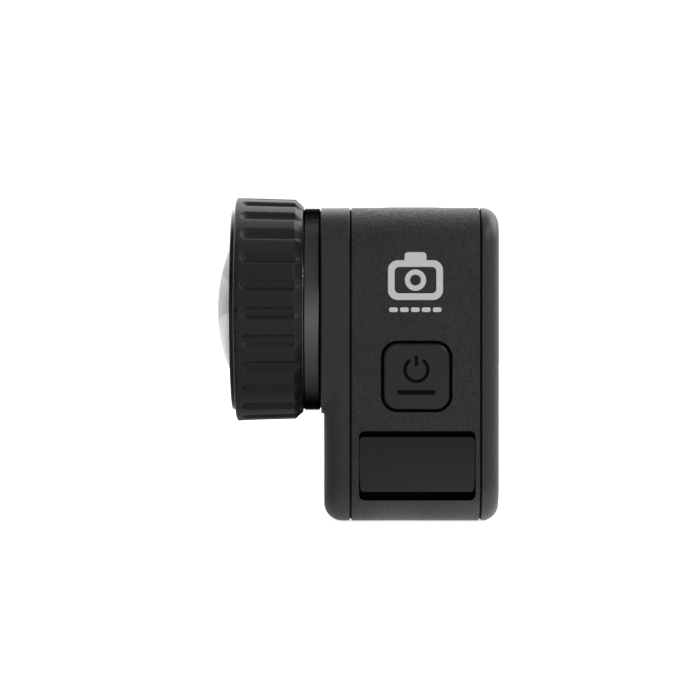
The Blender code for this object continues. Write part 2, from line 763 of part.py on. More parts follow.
def make_mod_glass(axis):
    """The front dome, its seal, the lens cell and two elements with their ring."""
    flat = DOME_RADIUS - DOME_RIM_WIDTH
    outer = arc(DOME_CENTRE, DOME_SPHERE, 0.0, DOME_RADIUS, 8)
    inner = arc(DOME_CENTRE, DOME_SPHERE - DOME_THICK, flat, 0.0, 6)
    turned("mod_dome", outer + [(DOME_RADIUS, inner[0][1])] + inner, GLASS, axis)
    seal_top = dome_rim() - FIT
    turned("mod_dome_seal", [(flat, seal_top), (DOME_RADIUS, seal_top),
                             (DOME_RADIUS, seal_top - SEAL_THICK), (flat, seal_top - SEAL_THICK)],
           RUBBER, axis)
    front = seal_floor() - 0.3
    back = cell_back()
    seat = front - 3.0
    shelf = back + 1.3
    mouth = CELL_RADIUS - 1.7
    wide = CELL_RADIUS - 2.8
    narrow = CELL_RADIUS - 6.8
    turned("mod_lens_cell", [(mouth, front), (CELL_RADIUS, front), (CELL_RADIUS, back),
                             (narrow - 1.1, back), (narrow - 1.1, shelf), (narrow, shelf),
                             (narrow, shelf + 2.5), (wide - 1.3, seat - 0.6), (wide - 1.3, seat),
                             (wide, seat), (wide, front - 0.8), (mouth, front - 0.8)], MOULDED, axis)
    edge = wide - FIT
    sphere = 24.0
    crown = seat + 4.6
    face = arc(crown - sphere, sphere, 0.0, edge, 6)
    hollow = arc(crown - 2.4 - 17.0, 17.0, edge - 3.2, 0.0, 5)
    rim = seat + FIT
    turned("mod_front_element", face + [(edge, rim), (edge - 3.2, rim)] + hollow[1:], GLASS, axis, 36)
    ring_back = front - 0.5
    turned("mod_element_ring", [(edge - 0.6, ring_back + 0.9), (mouth - FIT, ring_back + 0.9),
                                (mouth - FIT, ring_back), (edge - 0.6, ring_back)], SATIN, axis, 36)
    edge = narrow - FIT
    sphere = 30.0
    crown = shelf + 2.8
    face = arc(crown - sphere, sphere, 0.0, edge, 4)
    turned("mod_rear_element", face + [(edge, shelf + FIT), (0.0, shelf + FIT)], GLASS, axis, 36)


def cell_back():
    """Forward distance of the lens cell's rear face, in front of the bayonet flange."""
    return BAND_BACK + MOD_FLANGE_THICK + FIT


def make_mod_bayonet(axis):
    """The rear tube with two tabs that lock behind the camera's lugs."""
    tab_back = -FRONT_SEAM_Y + BAYONET_SETBACK + TAB_FLOAT
    tab_front = tab_back + TAB_THICK
    tube = BAYONET_LUG_INNER - FIT
    tab = BAYONET_LUG_INNER + TAB_LENGTH - FIT
    bore = LENS_BARREL_RADIUS + 1.2
    flange_front = BAND_BACK + MOD_FLANGE_THICK
    piece = turned("mod_bayonet", [(bore, flange_front), (CELL_RADIUS, flange_front),
                                   (CELL_RADIUS, BAND_BACK), (tube, BAND_BACK), (tube, tab_front),
                                   (tab, tab_front), (tab, tab_back), (bore, tab_back)], STEEL, axis)
    for side, name in ((1, "tab_gap_top"), (-1, "tab_gap_bottom")):
        wedge = quarter_wedge(side, tab, tab_back - 1, tab_front + 0.15, TAB_EDGE_GAP)
        cutter = add_cutter(name, wedge)
        core = add_cutter(name + "_core", lens_rod(tube + FIT, 0.0, GRIP_BACK, CORE_STEPS))
        combine(cutter, core, "DIFFERENCE")
        combine(piece, cutter, "DIFFERENCE")


# ---- buttons and what lies behind them ----

def make_mode_button():
    """The square side button, its flange behind the wall and its switch."""
    travel = pivot("mode_press_axis", (SIDE_X, MODE_CENTRE_Y, MODE_CENTRE_Z))
    low, high = mode_frame()
    flange_out = INNER_X - FIT
    flange_in = flange_out - BUTTON_FLANGE_THICK
    cap = rounded_box((flange_in + 0.2, low[0], low[1]), (SIDE_X - 0.08, high[0], high[1]), 0,
                      MODE_ROUND, rim_high=0.4)
    button = add_piece("mode_button", cap, MOULDED, under=travel)
    spread = BUTTON_FLANGE
    flange = rounded_box((flange_in, low[0] - spread, low[1] - spread),
                         (flange_out, high[0] + spread, high[1] + spread), 0, MODE_ROUND + spread)
    join(button, "mode_flange", flange)
    tip = flange_in - BUTTON_TRAVEL - FIT
    half = SWITCH_SIZE / 2
    switch = box((tip - SWITCH_HEIGHT, MODE_CENTRE_Y - half, MODE_CENTRE_Z - half),
                 (tip, MODE_CENTRE_Y + half, MODE_CENTRE_Z + half))
    add_piece("mode_switch", switch, CHIP)


def make_shutter_button():
    """The long top button, its flange under the wall and its switch."""
    travel = pivot("shutter_press_axis", (SHUTTER_CENTRE_X, SHUTTER_CENTRE_Y, BODY_HEIGHT))
    low, high = shutter_frame()
    flange_out = INNER_TOP - FIT
    flange_in = flange_out - BUTTON_FLANGE_THICK
    cap = rounded_box((low[0], low[1], flange_in + 0.2),
                      (high[0], high[1], BODY_HEIGHT + SHUTTER_PROUD), 2, SHUTTER_ROUND, rim_high=0.7)
    button = add_piece("shutter_button", cap, MOULDED, under=travel)
    spread = BUTTON_FLANGE
    flange = rounded_box((low[0] - spread, low[1] - spread, flange_in),
                         (high[0] + spread, high[1] + spread, flange_out), 2, SHUTTER_ROUND + spread)
    join(button, "shutter_flange", flange)
    tip = flange_in - BUTTON_TRAVEL - FIT
    half = SWITCH_SIZE / 2
    switch = box((SHUTTER_CENTRE_X - half, SHUTTER_CENTRE_Y - half, tip - SWITCH_HEIGHT),
                 (SHUTTER_CENTRE_X + half, SHUTTER_CENTRE_Y + half, tip))
    add_piece("shutter_switch", switch, CHIP)


def make_speaker():
    """The cover plate between two slots, the mesh behind it and the speaker itself."""
    low, high = speaker_frame()
    top = high[1] - SPEAKER_TOP_SLOT
    bottom = low[1] + SPEAKER_BOTTOM_SLOT
    outer = SIDE_X - SPEAKER_PLATE_SUNK
    plate = rounded_box((outer - SPEAKER_PLATE_THICK, low[0] + SPEAKER_PLATE_GAP, bottom),
                        (outer, high[0] - SPEAKER_PLATE_GAP, top), 0, 0.4, steps=2, rim_high=0.35)
    add_piece("speaker_plate", plate, MOULDED)
    mesh_x = INNER_X - SPEAKER_MESH_GAP
    mesh = box((mesh_x - SPEAKER_MESH_THICK, low[0] + 0.1, low[1] + 0.3),
               (mesh_x, high[0] - 0.3, high[1] - 0.3))
    add_piece("speaker_mesh", mesh, CHIP)
    unit_x = mesh_x - SPEAKER_MESH_THICK - FIT
    unit = rounded_box((unit_x - SPEAKER_DEPTH, low[0] + 1.4, low[1] + 1.2),
                       (unit_x, board_front() - FIT, high[1] - 1.2), 0, 2.0, steps=3)
    add_piece("speaker_unit", unit, CHIP)


# ---- battery, card, port and their bay ----

def bay_face():
    """The bay's face behind the battery door."""
    return -INNER_X + 2 * FIT + SEAL_THICK / 2


def battery_end():
    """The x of the battery's two ends."""
    start = bay_face() + 0.9
    return start, start + BATTERY_LENGTH


def card_base():
    """The bottom of the card."""
    return BATTERY_BASE_Z + BATTERY_HEIGHT + FIT + 0.6 + FIT


def port_base():
    """The bottom of the port."""
    return card_base() + CARD_THICK + FIT + 0.4 + FIT


def board_front():
    """The front face of the main board, behind the bay."""
    return BATTERY_FRONT_Y + BATTERY_THICK + FIT + BAY_WALL + 0.4


def make_battery_bay():
    """The bay with its three pockets, and what sits in them."""
    start, end = battery_end()
    back_y = BATTERY_FRONT_Y + BATTERY_THICK
    middle_y = (BATTERY_FRONT_Y + back_y) / 2
    skin = FIT + BAY_WALL
    top = port_base() + PORT_HEIGHT + skin
    bay = add_piece("battery_bay", box((bay_face(), BATTERY_FRONT_Y - skin, BATTERY_BASE_Z - skin),
                                       (end + skin, back_y + skin, top)), MOULDED)
    mouth = bay_face() - 1
    cut(bay, "battery_pocket", box((mouth, BATTERY_FRONT_Y - FIT, BATTERY_BASE_Z - FIT),
                                   (end + FIT, back_y + FIT, BATTERY_BASE_Z + BATTERY_HEIGHT + FIT)))
    battery = rounded_box((start, BATTERY_FRONT_Y, BATTERY_BASE_Z),
                          (end, back_y, BATTERY_BASE_Z + BATTERY_HEIGHT), 0, 1.5, steps=3)
    add_piece("battery", battery, LABEL)
    tab_z = BATTERY_BASE_Z + BATTERY_HEIGHT / 2
    tab = box((start - 0.7, middle_y - 3.5, tab_z - 7.0), (start - FIT, middle_y + 3.5, tab_z + 7.0))
    add_piece("battery_pull_tab", tab, TAB)

    base = card_base()
    half = CARD_WIDTH / 2
    card_start = bay_face() + 0.6
    cut(bay, "card_pocket", box((mouth, middle_y - half - FIT, base - FIT),
                                (card_start + CARD_LENGTH + FIT, middle_y + half + FIT,
                                 base + CARD_THICK + FIT)))
    add_piece("memory_card", box((card_start, middle_y - half, base),
                                 (card_start + CARD_LENGTH, middle_y + half, base + CARD_THICK)), CHIP)

    base = port_base()
    half = PORT_WIDTH / 2
    cut(bay, "port_pocket", box((mouth, middle_y - half - FIT, base - FIT),
                                (card_start + PORT_LENGTH + FIT, middle_y + half + FIT,
                                 base + PORT_HEIGHT + FIT)))
    port = rounded_box((card_start, middle_y - half, base),
                       (card_start + PORT_LENGTH, middle_y + half, base + PORT_HEIGHT), 0, 1.4, steps=4)
    port = add_piece("usb_port", port, STEEL)
    sheet = PORT_SHEET
    socket = rounded_box((mouth, middle_y - half + sheet, base + sheet),
                         (card_start + PORT_LENGTH - 1.0, middle_y + half - sheet,
                          base + PORT_HEIGHT - sheet), 0, 1.1, steps=4)
    cut(port, "port_socket", socket)


def make_battery_door():
    """The side door, its hinge pin, its seal and its sliding latch."""
    x, z = hinge_axis()
    low, high = door_frame()
    middle_y = (low[0] + high[0]) / 2
    swing = pivot("door_swing_axis", (x, middle_y, z))
    solid = box((-SIDE_X, low[0], low[1]), (-INNER_X, high[0], high[1]))
    lower = edges_along(solid, 0, lambda middle: middle.z < BODY_HEIGHT / 2 * MM)
    bevel_edges(solid, lower, DOOR_ROUND, 4)
    barrel = edges_along(solid, 1, lambda middle: middle.z > z * MM)
    bevel_edges(solid, barrel, WALL / 2 - 0.02, 4)
    door = add_piece("battery_door", solid, MOULDED, under=swing)
    hole = rod(HINGE_PIN_RADIUS + HINGE_CLEARANCE, (x, low[0] - 1, z), (x, high[0] + 1, z), 12)
    cut(door, "door_pin_hole", hole)
    latch_top = low[1] - LATCH_TONGUE + LATCH_HEIGHT
    cut(door, "latch_way", latch_pocket(low[1] - 1, latch_top + LATCH_TRAVEL + FIT))
    pin = rod(HINGE_PIN_RADIUS, (x, low[0] - 1.2, z), (x, high[0] + 1.2, z), 12)
    add_piece("door_hinge_pin", pin, STEEL, at=(x, middle_y, z))

    slide = pivot("latch_slide_axis", (x, middle_y, low[1]), swing)
    left, right = latch_y()
    face = -SIDE_X + LATCH_SUNK
    latch = rounded_box((face, left, low[1] - LATCH_TONGUE), (face + LATCH_THICK, right, latch_top),
                        0, 0.8, steps=3)
    latch = add_piece("door_latch", latch, SATIN, under=slide)
    for number in range(3):
        groove = latch_top - 1.4 - 1.5 * number
        cut(latch, f"latch_groove_{number + 1}", box((face - 1, left + 1.2, groove - 0.3),
                                                     (face + 0.25, right - 1.2, groove + 0.3)))

    seal_x = -INNER_X + FIT
    inset = 1.0
    outer = rounded_box((seal_x, low[0] + inset, low[1] + inset),
                        (seal_x + SEAL_THICK / 2, high[0] - inset, high[1] - 1.5 - inset), 0, 2.5,
                        steps=3)
    seal = add_piece("door_seal", outer, RUBBER, under=swing)
    inset += 1.2
    inner = rounded_box((seal_x - 1, low[0] + inset, low[1] + inset),
                        (seal_x + 1, high[0] - inset, high[1] - 1.5 - inset), 0, 1.3, steps=3)
    cut(seal, "door_seal_inside", inner)


# ---- folding fingers ----

def finger_solid(side, grow):
    """One folded finger, round at its far end and at its hinge, or its pocket if grown."""
    hinge_x, hinge_z = finger_hinge_x(), finger_hinge_z()
    half = FINGER_WIDTH / 2 + grow
    thick = FINGER_THICK / 2 + grow
    near = hinge_x - thick
    far = hinge_x + FINGER_REACH + half
    solid = box((near, -half, hinge_z - thick), (far, half, hinge_z + thick))
    middle = (near + far) / 2 * MM
    ends = edges_along(solid, 2, lambda point: point.x > middle)
    bevel_edges(solid, ends, half - 0.05, 8)
    if grow == 0:
        root = edges_along(solid, 1, lambda point: point.x < middle)
        bevel_edges(solid, root, thick - 0.02, 4)
    if side < 0:
        bmesh.ops.scale(solid, vec=(-1, 1, 1), verts=solid.verts)
        bmesh.ops.reverse_faces(solid, faces=solid.faces)
    return solid


def make_fingers():
    """The base that the fingers fold into, the two fingers and their pins."""
    half_x, half_y = base_half_sizes()
    base = add_piece("finger_base", rounded_box((-half_x, -half_y, 0.0), (half_x, half_y, base_top()),
                                                2, 2.0, steps=3), MOULDED)
    z = finger_hinge_z()
    for side, word in ((-1, "left"), (1, "right")):
        x = side * finger_hinge_x()
        pocket = finger_solid(side, FIT)
        for vert in pocket.verts:
            if vert.co.z < z * MM:
                vert.co.z = -1 * MM
        cut(base, f"finger_pocket_{word}", pocket)
        reach = FINGER_PIN_RADIUS + HINGE_CLEARANCE
        cut(base, f"pin_hole_{word}", rod(reach, (x, -half_y - 1, z), (x, half_y + 1, z), 12))
        pin_end = half_y - FIT
        add_piece(f"finger_pin_{word}", rod(FINGER_PIN_RADIUS, (x, -pin_end, z), (x, pin_end, z), 12),
                  STEEL, at=(x, 0.0, z))
        fold = pivot(f"finger_{word}_fold_axis", (x, 0.0, z))
        finger = add_piece(f"finger_{word}", finger_solid(side, 0.0), SATIN, under=fold)
        bore_x = side * (finger_hinge_x() + FINGER_REACH)
        cut(finger, f"finger_bore_{word}", rod(FINGER_BORE_RADIUS, (bore_x, 0.0, -1.0),
                                               (bore_x, 0.0, base_top() + 1), 24))
        hole = rod(reach, (x, -half_y, z), (x, half_y, z), 12)
        cut(finger, f"finger_pin_bore_{word}", hole)


# ---- boards, displays and small parts ----

def make_boards():
    """The main board with its processor and screws, and the heat spreader behind it."""
    front = board_front()
    back = front + BOARD_THICK
    left, right = -SIDE_X + 4.0, SIDE_X - 4.5
    bottom, top = base_top() + 2.0, INNER_TOP - 3.0
    board = add_piece("main_board", box((left, front, bottom), (right, back, top)), BOARD)
    number = 0
    for x in (left + 3.0, right - 3.0):
        for z in (bottom + 3.0, top - 3.0):
            number += 1
            cut(board, f"board_hole_{number}", rod(SCREW_SHANK_RADIUS + FIT, (x, front - 1, z),
                                                   (x, back + 1, z), 10))
            screw = turned_screw(x, z, front, back)
            add_piece(f"board_screw_{number}", screw, STEEL, at=(x, back, z))
    middle = (bottom + top) / 2
    half = PROCESSOR_SIZE / 2
    chip_back = back + FIT + 1.0
    add_piece("processor", box((-half, back + FIT, middle - half), (half, chip_back, middle + half)),
              CHIP)
    spreader = rounded_box((left + 6.0, chip_back + FIT, bottom + 4.0),
                           (right - 6.0, chip_back + FIT + SPREADER_THICK, top - 4.0), 1, 2.0, steps=3)
    add_piece("heat_spreader", spreader, ALUMINIUM)


def turned_screw(x, z, front, back):
    """A small screw with its head behind the board."""
    solid = rod(SCREW_HEAD_RADIUS, (x, back + FIT, z), (x, back + FIT + SCREW_HEAD_HEIGHT, z), 10)
    under = min(solid.faces, key=lambda face: face.calc_center_median().y)
    bmesh.ops.inset_region(solid, faces=[under],
                           thickness=(SCREW_HEAD_RADIUS - SCREW_SHANK_RADIUS) * MM)
    shank = bmesh.ops.extrude_discrete_faces(solid, faces=[under])["faces"][0]
    depth = (front + FIT / 2 - (back + FIT)) * MM
    bmesh.ops.translate(solid, vec=(0.0, depth, 0.0), verts=shank.verts)
    return solid


def make_displays():
    """The front and rear glass plates and the display modules behind them."""
    low, high = rear_glass_frame()
    glass_out = REAR_Y - GLASS_SUNK
    glass = rounded_box((low[0], glass_out - GLASS_THICK, low[1]), (high[0], glass_out, high[1]), 1,
                        GLASS_ROUND, steps=4, rim_high=0.3)
    add_piece("rear_touch_glass", glass, GLOSS)
    edge = LEDGE + FIT
    module_out = glass_out - GLASS_THICK - FIT
    add_piece("rear_display", box((low[0] + edge, module_out - REAR_DISPLAY_DEPTH, low[1] + edge),
                                  (high[0] - edge, module_out, high[1] - edge)), SCREEN)
    low, high = front_glass_frame()
    glass_out = FRONT_Y + GLASS_SUNK
    glass = rounded_box((low[0], glass_out, low[1]), (high[0], glass_out + GLASS_THICK, high[1]), 1,
                        GLASS_ROUND, steps=4, rim_low=0.3)
    add_piece("front_window", glass, GLOSS)
    module_out = glass_out + GLASS_THICK + FIT
    add_piece("front_display", box((low[0] + edge, module_out, low[1] + edge),
                                   (high[0] - edge, module_out + FRONT_DISPLAY_DEPTH, high[1] - edge)),
              SCREEN)


def make_small_parts():
    """Status lights and the front microphone's mesh."""
    x, z = front_light_x(), light_z()
    add_piece("front_status_light", rod(LIGHT_RADIUS, (x, FRONT_Y + 0.15, z),
                                        (x, FRONT_Y + PANEL_WALL, z), 16), LIGHT)
    x = microphone_x()
    add_piece("front_microphone_mesh", rod(MICROPHONE_RADIUS, (x, FRONT_Y + 0.4, z),
                                           (x, FRONT_Y + 0.9, z)), CHIP)
    x, z = rear_light_place()
    add_piece("rear_status_light", rod(LIGHT_RADIUS, (x, REAR_Y - PANEL_WALL, z),
                                       (x, REAR_Y - 0.15, z), 16), LIGHT)


def main():
    """Build every piece."""
    clear_scene()
    make_front_shell()
    make_mid_housing()
    make_rear_shell()
    front_seal = seal_ring("front_seal", FRONT_SEAM_Y)
    cut(front_seal, "front_seal_relief", lens_rod(BAYONET_RING_OUTER + FIT / 2, 0.0, BOSS_FRONT))
    seal_ring("rear_seal", REAR_SEAM_Y)
    make_camera_lens()
    make_lens_module()
    make_mode_button()
    make_shutter_button()
    make_speaker()
    make_battery_bay()
    make_battery_door()
    make_fingers()
    make_boards()
    make_displays()
    make_small_parts()


main()
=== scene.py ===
"""Looks of a compact action camera with a twist-on wide lens module.

Sizes are in millimetres and are turned into metres where a mesh is made. +X is the side with
the mode button, -Y is the front with the lens and +Z is up. A forward distance is measured
from the origin along -Y.
"""

import json
import math

import bmesh
import bpy
from mathutils import Matrix, Vector


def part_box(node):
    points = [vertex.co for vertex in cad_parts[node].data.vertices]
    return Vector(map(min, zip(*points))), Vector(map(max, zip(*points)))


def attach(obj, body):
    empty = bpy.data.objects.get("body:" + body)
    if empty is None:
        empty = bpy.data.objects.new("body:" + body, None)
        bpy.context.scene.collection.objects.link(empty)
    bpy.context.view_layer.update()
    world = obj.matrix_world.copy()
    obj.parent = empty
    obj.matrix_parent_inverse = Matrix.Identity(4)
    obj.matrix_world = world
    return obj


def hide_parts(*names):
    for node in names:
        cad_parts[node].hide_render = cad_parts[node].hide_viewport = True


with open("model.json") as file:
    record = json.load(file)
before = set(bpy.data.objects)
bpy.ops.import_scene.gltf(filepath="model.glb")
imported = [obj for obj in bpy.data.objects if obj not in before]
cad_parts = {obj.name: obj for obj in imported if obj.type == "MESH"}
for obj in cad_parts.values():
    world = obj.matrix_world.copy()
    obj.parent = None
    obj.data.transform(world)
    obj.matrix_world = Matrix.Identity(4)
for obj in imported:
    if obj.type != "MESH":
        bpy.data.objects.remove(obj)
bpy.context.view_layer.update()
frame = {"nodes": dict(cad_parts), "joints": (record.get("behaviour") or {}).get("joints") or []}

MM = 0.001
STEPS = 180
CORNER_STEPS = 18
RIM_STEPS = 10
SAME = 2e-7

# Shape of the body
CORNER_ROUND = 6.5
RIM_ROUND = 3.2
BOSS_PROUD = 0.5
BOSS_HALF = 18.45
BOSS_CORNER = 5.0
WALL = 2.0
PANEL_WALL = 1.8
FIT = 0.3
SEAM_ROUND = 0.2
MOUTH_ROUND = 0.18

# Shape of the lens module
FLUTES = 25
FLUTE_PHASE = -2.3
FLUTE_HALF_WIDTH = 1.35
FLUTE_DEPTH = 0.70
FLUTE_FRONT_MARGIN = 2.4
FLUTE_BACK_MARGIN = 1.9
GRIP_CONE_LENGTH = 1.4
GRIP_DRAFT = 0.31
DOME_SPHERE = 29.0
DOME_THICK = 1.8
BEZEL_INNER = 15.0
OWN_BARREL_RADIUS = 8.0

# Shape of the small pieces
FLANGE = 1.2
FLANGE_THICK = 0.9
ENGRAVED = 0.16
SPEAKER_CROWN = 45.0
WIRE_RADIUS = 0.1
WIRE_PITCH = 0.45
HINGE_BORE = 0.65
FINGER_PIN_BORE = 0.9
SCREW_BORE = 2.5

# Camera and light
CAMERA_Y = -10.74
CAMERA_Z = 30.0
CAMERA_DISTANCE = 560.0
PLANE_OF_SCALE = 28.0
VIEW_WIDTH = 700.0 / 5.673
SENSOR = 36.0
# Slope of the level above which the dome's painted shade darkens it.
PAINTED_DARKENING_SLOPE = 1.1
STAGE_AIM = (0.0, -5.0)

# Strengths for rays from the camera
SKY_SEEN = 1.1
FLOOR_SEEN = 0.80

# Strengths for all other rays: from one place to another, the strengths at those places.
# The sky's places are parts of a direction, the floor's are in metres.
SKY_BACK_X = (-0.12, -0.50, 0.0, 1.0)
SKY_BACK_Z = (0.05, 0.5, 0.70, 2.9)
SKY_CEILING_Z = (0.25, 0.85, 0.05, 0.50)
SKY_LEVEL_Z = (0.6, 0.05, 0.0, 1.0)
SKY_NEAR_X = (0.1, 0.9, 0.0, 0.48)
SKY_SIDE_Y = (-0.6, 0.9, 0.07, 0.40)
SKY_AHEAD_X = (-0.4, 0.2, 0.0, 1.0)
FLOOR_NEAR_X = (0.066, 0.036, 0.0, 1.3)
FLOOR_NEAR_Y = (-0.026, -0.004, 0.0, 1.0)
FLOOR_FAR_X = (-0.06, -0.40, 0.10, 0.45)


# ---- places in the frame ----

def span(node):
    """Lowest and highest corner of a CAD node, in millimetres."""
    low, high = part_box(node)
    return low / MM, high / MM


def joint(name):
    """A joint of the frame."""
    return next(entry for entry in frame["joints"] if entry["name"] == name)


def turned(node):
    """The front and back of a turned CAD node, as forward distances, and its outer radius."""
    low, high = span(node)
    return -low.y, -high.y, (high.z - low.z) / 2


LENS_X, _, LENS_Z = [value / MM for value in joint("mod_twist")["pos_m"]]
MID_LOW, MID_HIGH = span("mid_housing")
SIDE_X = MID_HIGH.x
TOP = MID_HIGH.z
FRONT_FACE = span("front_shell")[0].y + BOSS_PROUD
FRONT_SEAM = span("front_shell")[1].y
REAR_SEAM = span("rear_shell")[0].y
REAR_FACE = span("rear_shell")[1].y


# ---- mesh tools ----

def metres(point):
    """A point in millimetres as a vector in metres."""
    return Vector([value * MM for value in point])


def make_object(name, solid):
    """An object at the origin from a bmesh in world metres."""
    mesh = bpy.data.meshes.new(name)
    solid.to_mesh(mesh)
    solid.free()
    thing = bpy.data.objects.new(name, mesh)
    bpy.context.scene.collection.objects.link(thing)
    return thing


def settle(thing):
    """Turn an object and its modifiers into a plain mesh."""
    shown = thing.evaluated_get(bpy.context.evaluated_depsgraph_get())
    mesh = bpy.data.meshes.new_from_object(shown)
    thing.modifiers.clear()
    thing.data = mesh
    return thing


def combine(thing, other, operation):
    """One exact Boolean, after which the other object is gone."""
    modifier = thing.modifiers.new(operation.lower(), "BOOLEAN")
    modifier.operation = operation
    modifier.solver = "EXACT"
    modifier.material_mode = "TRANSFER"
    modifier.object = other
    settle(thing)
    bpy.data.objects.remove(other, do_unlink=True)
    return thing


def cut(thing, solid):
    """Cut an object with a bmesh."""
    return combine(thing, make_object("cutter", solid), "DIFFERENCE")


def box(low, high):
    """A plain box between two corners."""
    low, high = metres(low), metres(high)
    solid = bmesh.new()
    spread = Matrix.Translation((low + high) / 2) @ Matrix.Diagonal((*(high - low), 1.0))
    bmesh.ops.create_cube(solid, size=1.0, matrix=spread)
    return solid


def bevel(solid, chosen, radius, steps):
    """Round the chosen edges of a bmesh."""
    bmesh.ops.bevel(solid, geom=chosen, offset=radius * MM, offset_type="OFFSET",
                    segments=steps, profile=0.5, affect="EDGES", clamp_overlap=True)


def edges_along(solid, axis, keep=None):
    """Edges that run along one axis, or those whose middle passes a test."""
    found = []
    for edge in solid.edges:
        run = edge.verts[1].co - edge.verts[0].co
        middle = (edge.verts[0].co + edge.verts[1].co) / (2 * MM)
        if abs(run[axis]) > 0.999 * run.length and (keep is None or keep(middle)):
            found.append(edge)
    return found


def rounded_box(low, high, axis, corner, steps=CORNER_STEPS, rim_low=0.0, rim_high=0.0,
                rim_steps=RIM_STEPS):
    """A box rounded about one axis, and if wanted round the rims of its ends."""
    solid = box(low, high)
    bevel(solid, edges_along(solid, axis), corner, steps)
    for level, radius in ((low[axis], rim_low), (high[axis], rim_high)):
        if radius > 0:
            rim = [edge for edge in solid.edges
                   if all(abs(v.co[axis] - level * MM) < SAME for v in edge.verts)]
            bevel(solid, rim, radius, rim_steps)
    return solid


def rod(radius, start, end, steps=48):
    """A solid cylinder from one point to another."""
    start, end = metres(start), metres(end)
    run = end - start
    turn = run.normalized().to_track_quat("Z", "Y").to_matrix().to_4x4()
    solid = bmesh.new()
    bmesh.ops.create_cone(solid, cap_ends=True, segments=steps, radius1=radius * MM,
                          radius2=radius * MM, depth=run.length,
                          matrix=Matrix.Translation((start + end) / 2) @ turn)
    return solid


def soften(thing, test, width, steps=3, angle=30.0):
    """Round the sharp edges whose middle, in millimetres, passes a test."""
    solid = bmesh.new()
    solid.from_mesh(thing.data)
    limit = math.radians(angle)
    chosen = []
    for edge in solid.edges:
        if len(edge.link_faces) == 2 and edge.calc_face_angle(0.0) > limit:
            middle = (edge.verts[0].co + edge.verts[1].co) / (2 * MM)
            if test(middle):
                chosen.append(edge)
    bevel(solid, chosen, width, steps)
    solid.to_mesh(thing.data)
    solid.free()
    return thing


def shade(thing, angle=32.0):
    """Smooth shading, with sharp edges kept and flat faces flat."""
    thing.data.shade_smooth()
    thing.data.set_sharp_from_angle(angle=math.radians(angle))
    weighted = thing.modifiers.new("normals", "WEIGHTED_NORMAL")
    weighted.keep_sharp = True
    weighted.weight = 80
    return settle(thing)


def rounded_profile(points):
    """Replace each (radius, forward, fillet) corner by an arc."""
    outline = []
    count = len(points)
    for number, (across, along, fillet) in enumerate(points):
        here = Vector((across, along))
        if fillet <= 0:
            outline.append(here)
            continue
        before = Vector(points[number - 1][:2]) - here
        after = Vector(points[(number + 1) % count][:2]) - here
        half = before.angle(after) / 2
        reach = fillet / math.tan(half)
        centre = here + (before.normalized() + after.normalized()).normalized() * fillet / math.sin(half)
        start = here + before.normalized() * reach - centre
        end = here + after.normalized() * reach - centre
        turn = start.angle_signed(end)
        steps = max(2, int(abs(math.degrees(turn)) / 12) + 1)
        for step in range(steps + 1):
            arm = start.copy()
            arm.rotate(Matrix.Rotation(-turn * step / steps, 2))
            outline.append(centre + arm)
    return outline


def lathe(name, points, centre=None, steps=STEPS):
    """A piece turned about a line along Y from (radius, forward, fillet) points."""
    closed = points[0][0] > 0
    x, z = centre or (LENS_X, LENS_Z)
    outline = rounded_profile(points)
    solid = bmesh.new()
    verts = [solid.verts.new(metres((x + point.x, -point.y, z))) for point in outline]
    edges = [solid.edges.new(pair) for pair in zip(verts, verts[1:])]
    if closed:
        edges.append(solid.edges.new((verts[-1], verts[0])))
    bmesh.ops.spin(solid, geom=verts + edges, cent=metres((x, 0.0, z)), axis=(0.0, 1.0, 0.0),
                   angle=math.radians(360), steps=steps, use_merge=True, use_duplicate=False)
    bmesh.ops.remove_doubles(solid, verts=solid.verts, dist=SAME)
    bmesh.ops.recalc_face_normals(solid, faces=solid.faces)
    return make_object(name, solid)


def sphere_arc(centre, radius, start, end, count):
    """Points of a sphere's outline between two distances from the axis."""
    points = []
    for step in range(count + 1):
        across = start + (end - start) * step / count
        points.append((across, centre + math.sqrt(radius ** 2 - across ** 2), 0.0))
    return points


def paint(thing, material):
    """One finish over the whole of a piece, before another is cut into it."""
    thing.data.materials.clear()
    thing.data.materials.append(material)
    for face in thing.data.polygons:
        face.material_index = 0


def place(piece, body, slot, material, *nodes):
    """Give a finished piece its finish, its body and the CAD nodes it stands for."""
    if material is not None:
        piece.data.materials.clear()
        piece.data.materials.append(material)
    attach(piece, body)
    if nodes:
        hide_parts(*nodes)
    return piece


# ---- materials ----

def add_node(tree, kind, settings=None, **inputs):
    """A shader node with its settings, and its inputs set or linked by name."""
    node = tree.nodes.new(kind)
    for key, value in (settings or {}).items():
        setattr(node, key, value)
    for key, value in inputs.items():
        socket = node.inputs[int(key[2:])] if key.startswith("at") else node.inputs[key.replace("_", " ")]
        if isinstance(value, bpy.types.NodeSocket):
            tree.links.new(value, socket)
        else:
            socket.default_value = value
    return node


def calc(tree, operation, *values):
    """One math node on sockets or numbers."""
    node = tree.nodes.new("ShaderNodeMath")
    node.operation = operation
    for socket, value in zip(node.inputs, values):
        if isinstance(value, bpy.types.NodeSocket):
            tree.links.new(value, socket)
        else:
            socket.default_value = value
    return node.outputs[0]


def new_finish(name):
    """An empty material, its node tree, its Principled shader and the object coordinates."""
    material = bpy.data.materials.new(name)
    material.use_nodes = True
    tree = material.node_tree
    coords = add_node(tree, "ShaderNodeTexCoord").outputs["Object"]
    return material, tree, tree.nodes["Principled BSDF"], coords


def noise(tree, coords, scale, detail=3.0, rough=0.55):
    """A noise pattern on object coordinates."""
    found = add_node(tree, "ShaderNodeTexNoise", Vector=coords, Scale=scale, Detail=detail,
                     Roughness=rough)
    return found.outputs["Fac"]


def remap(tree, value, low, high, to_low, to_high):
    """Stretch a value from one range to another."""
    found = add_node(tree, "ShaderNodeMapRange", at0=value, at1=low, at2=high, at3=to_low, at4=to_high)
    return found.outputs["Result"]


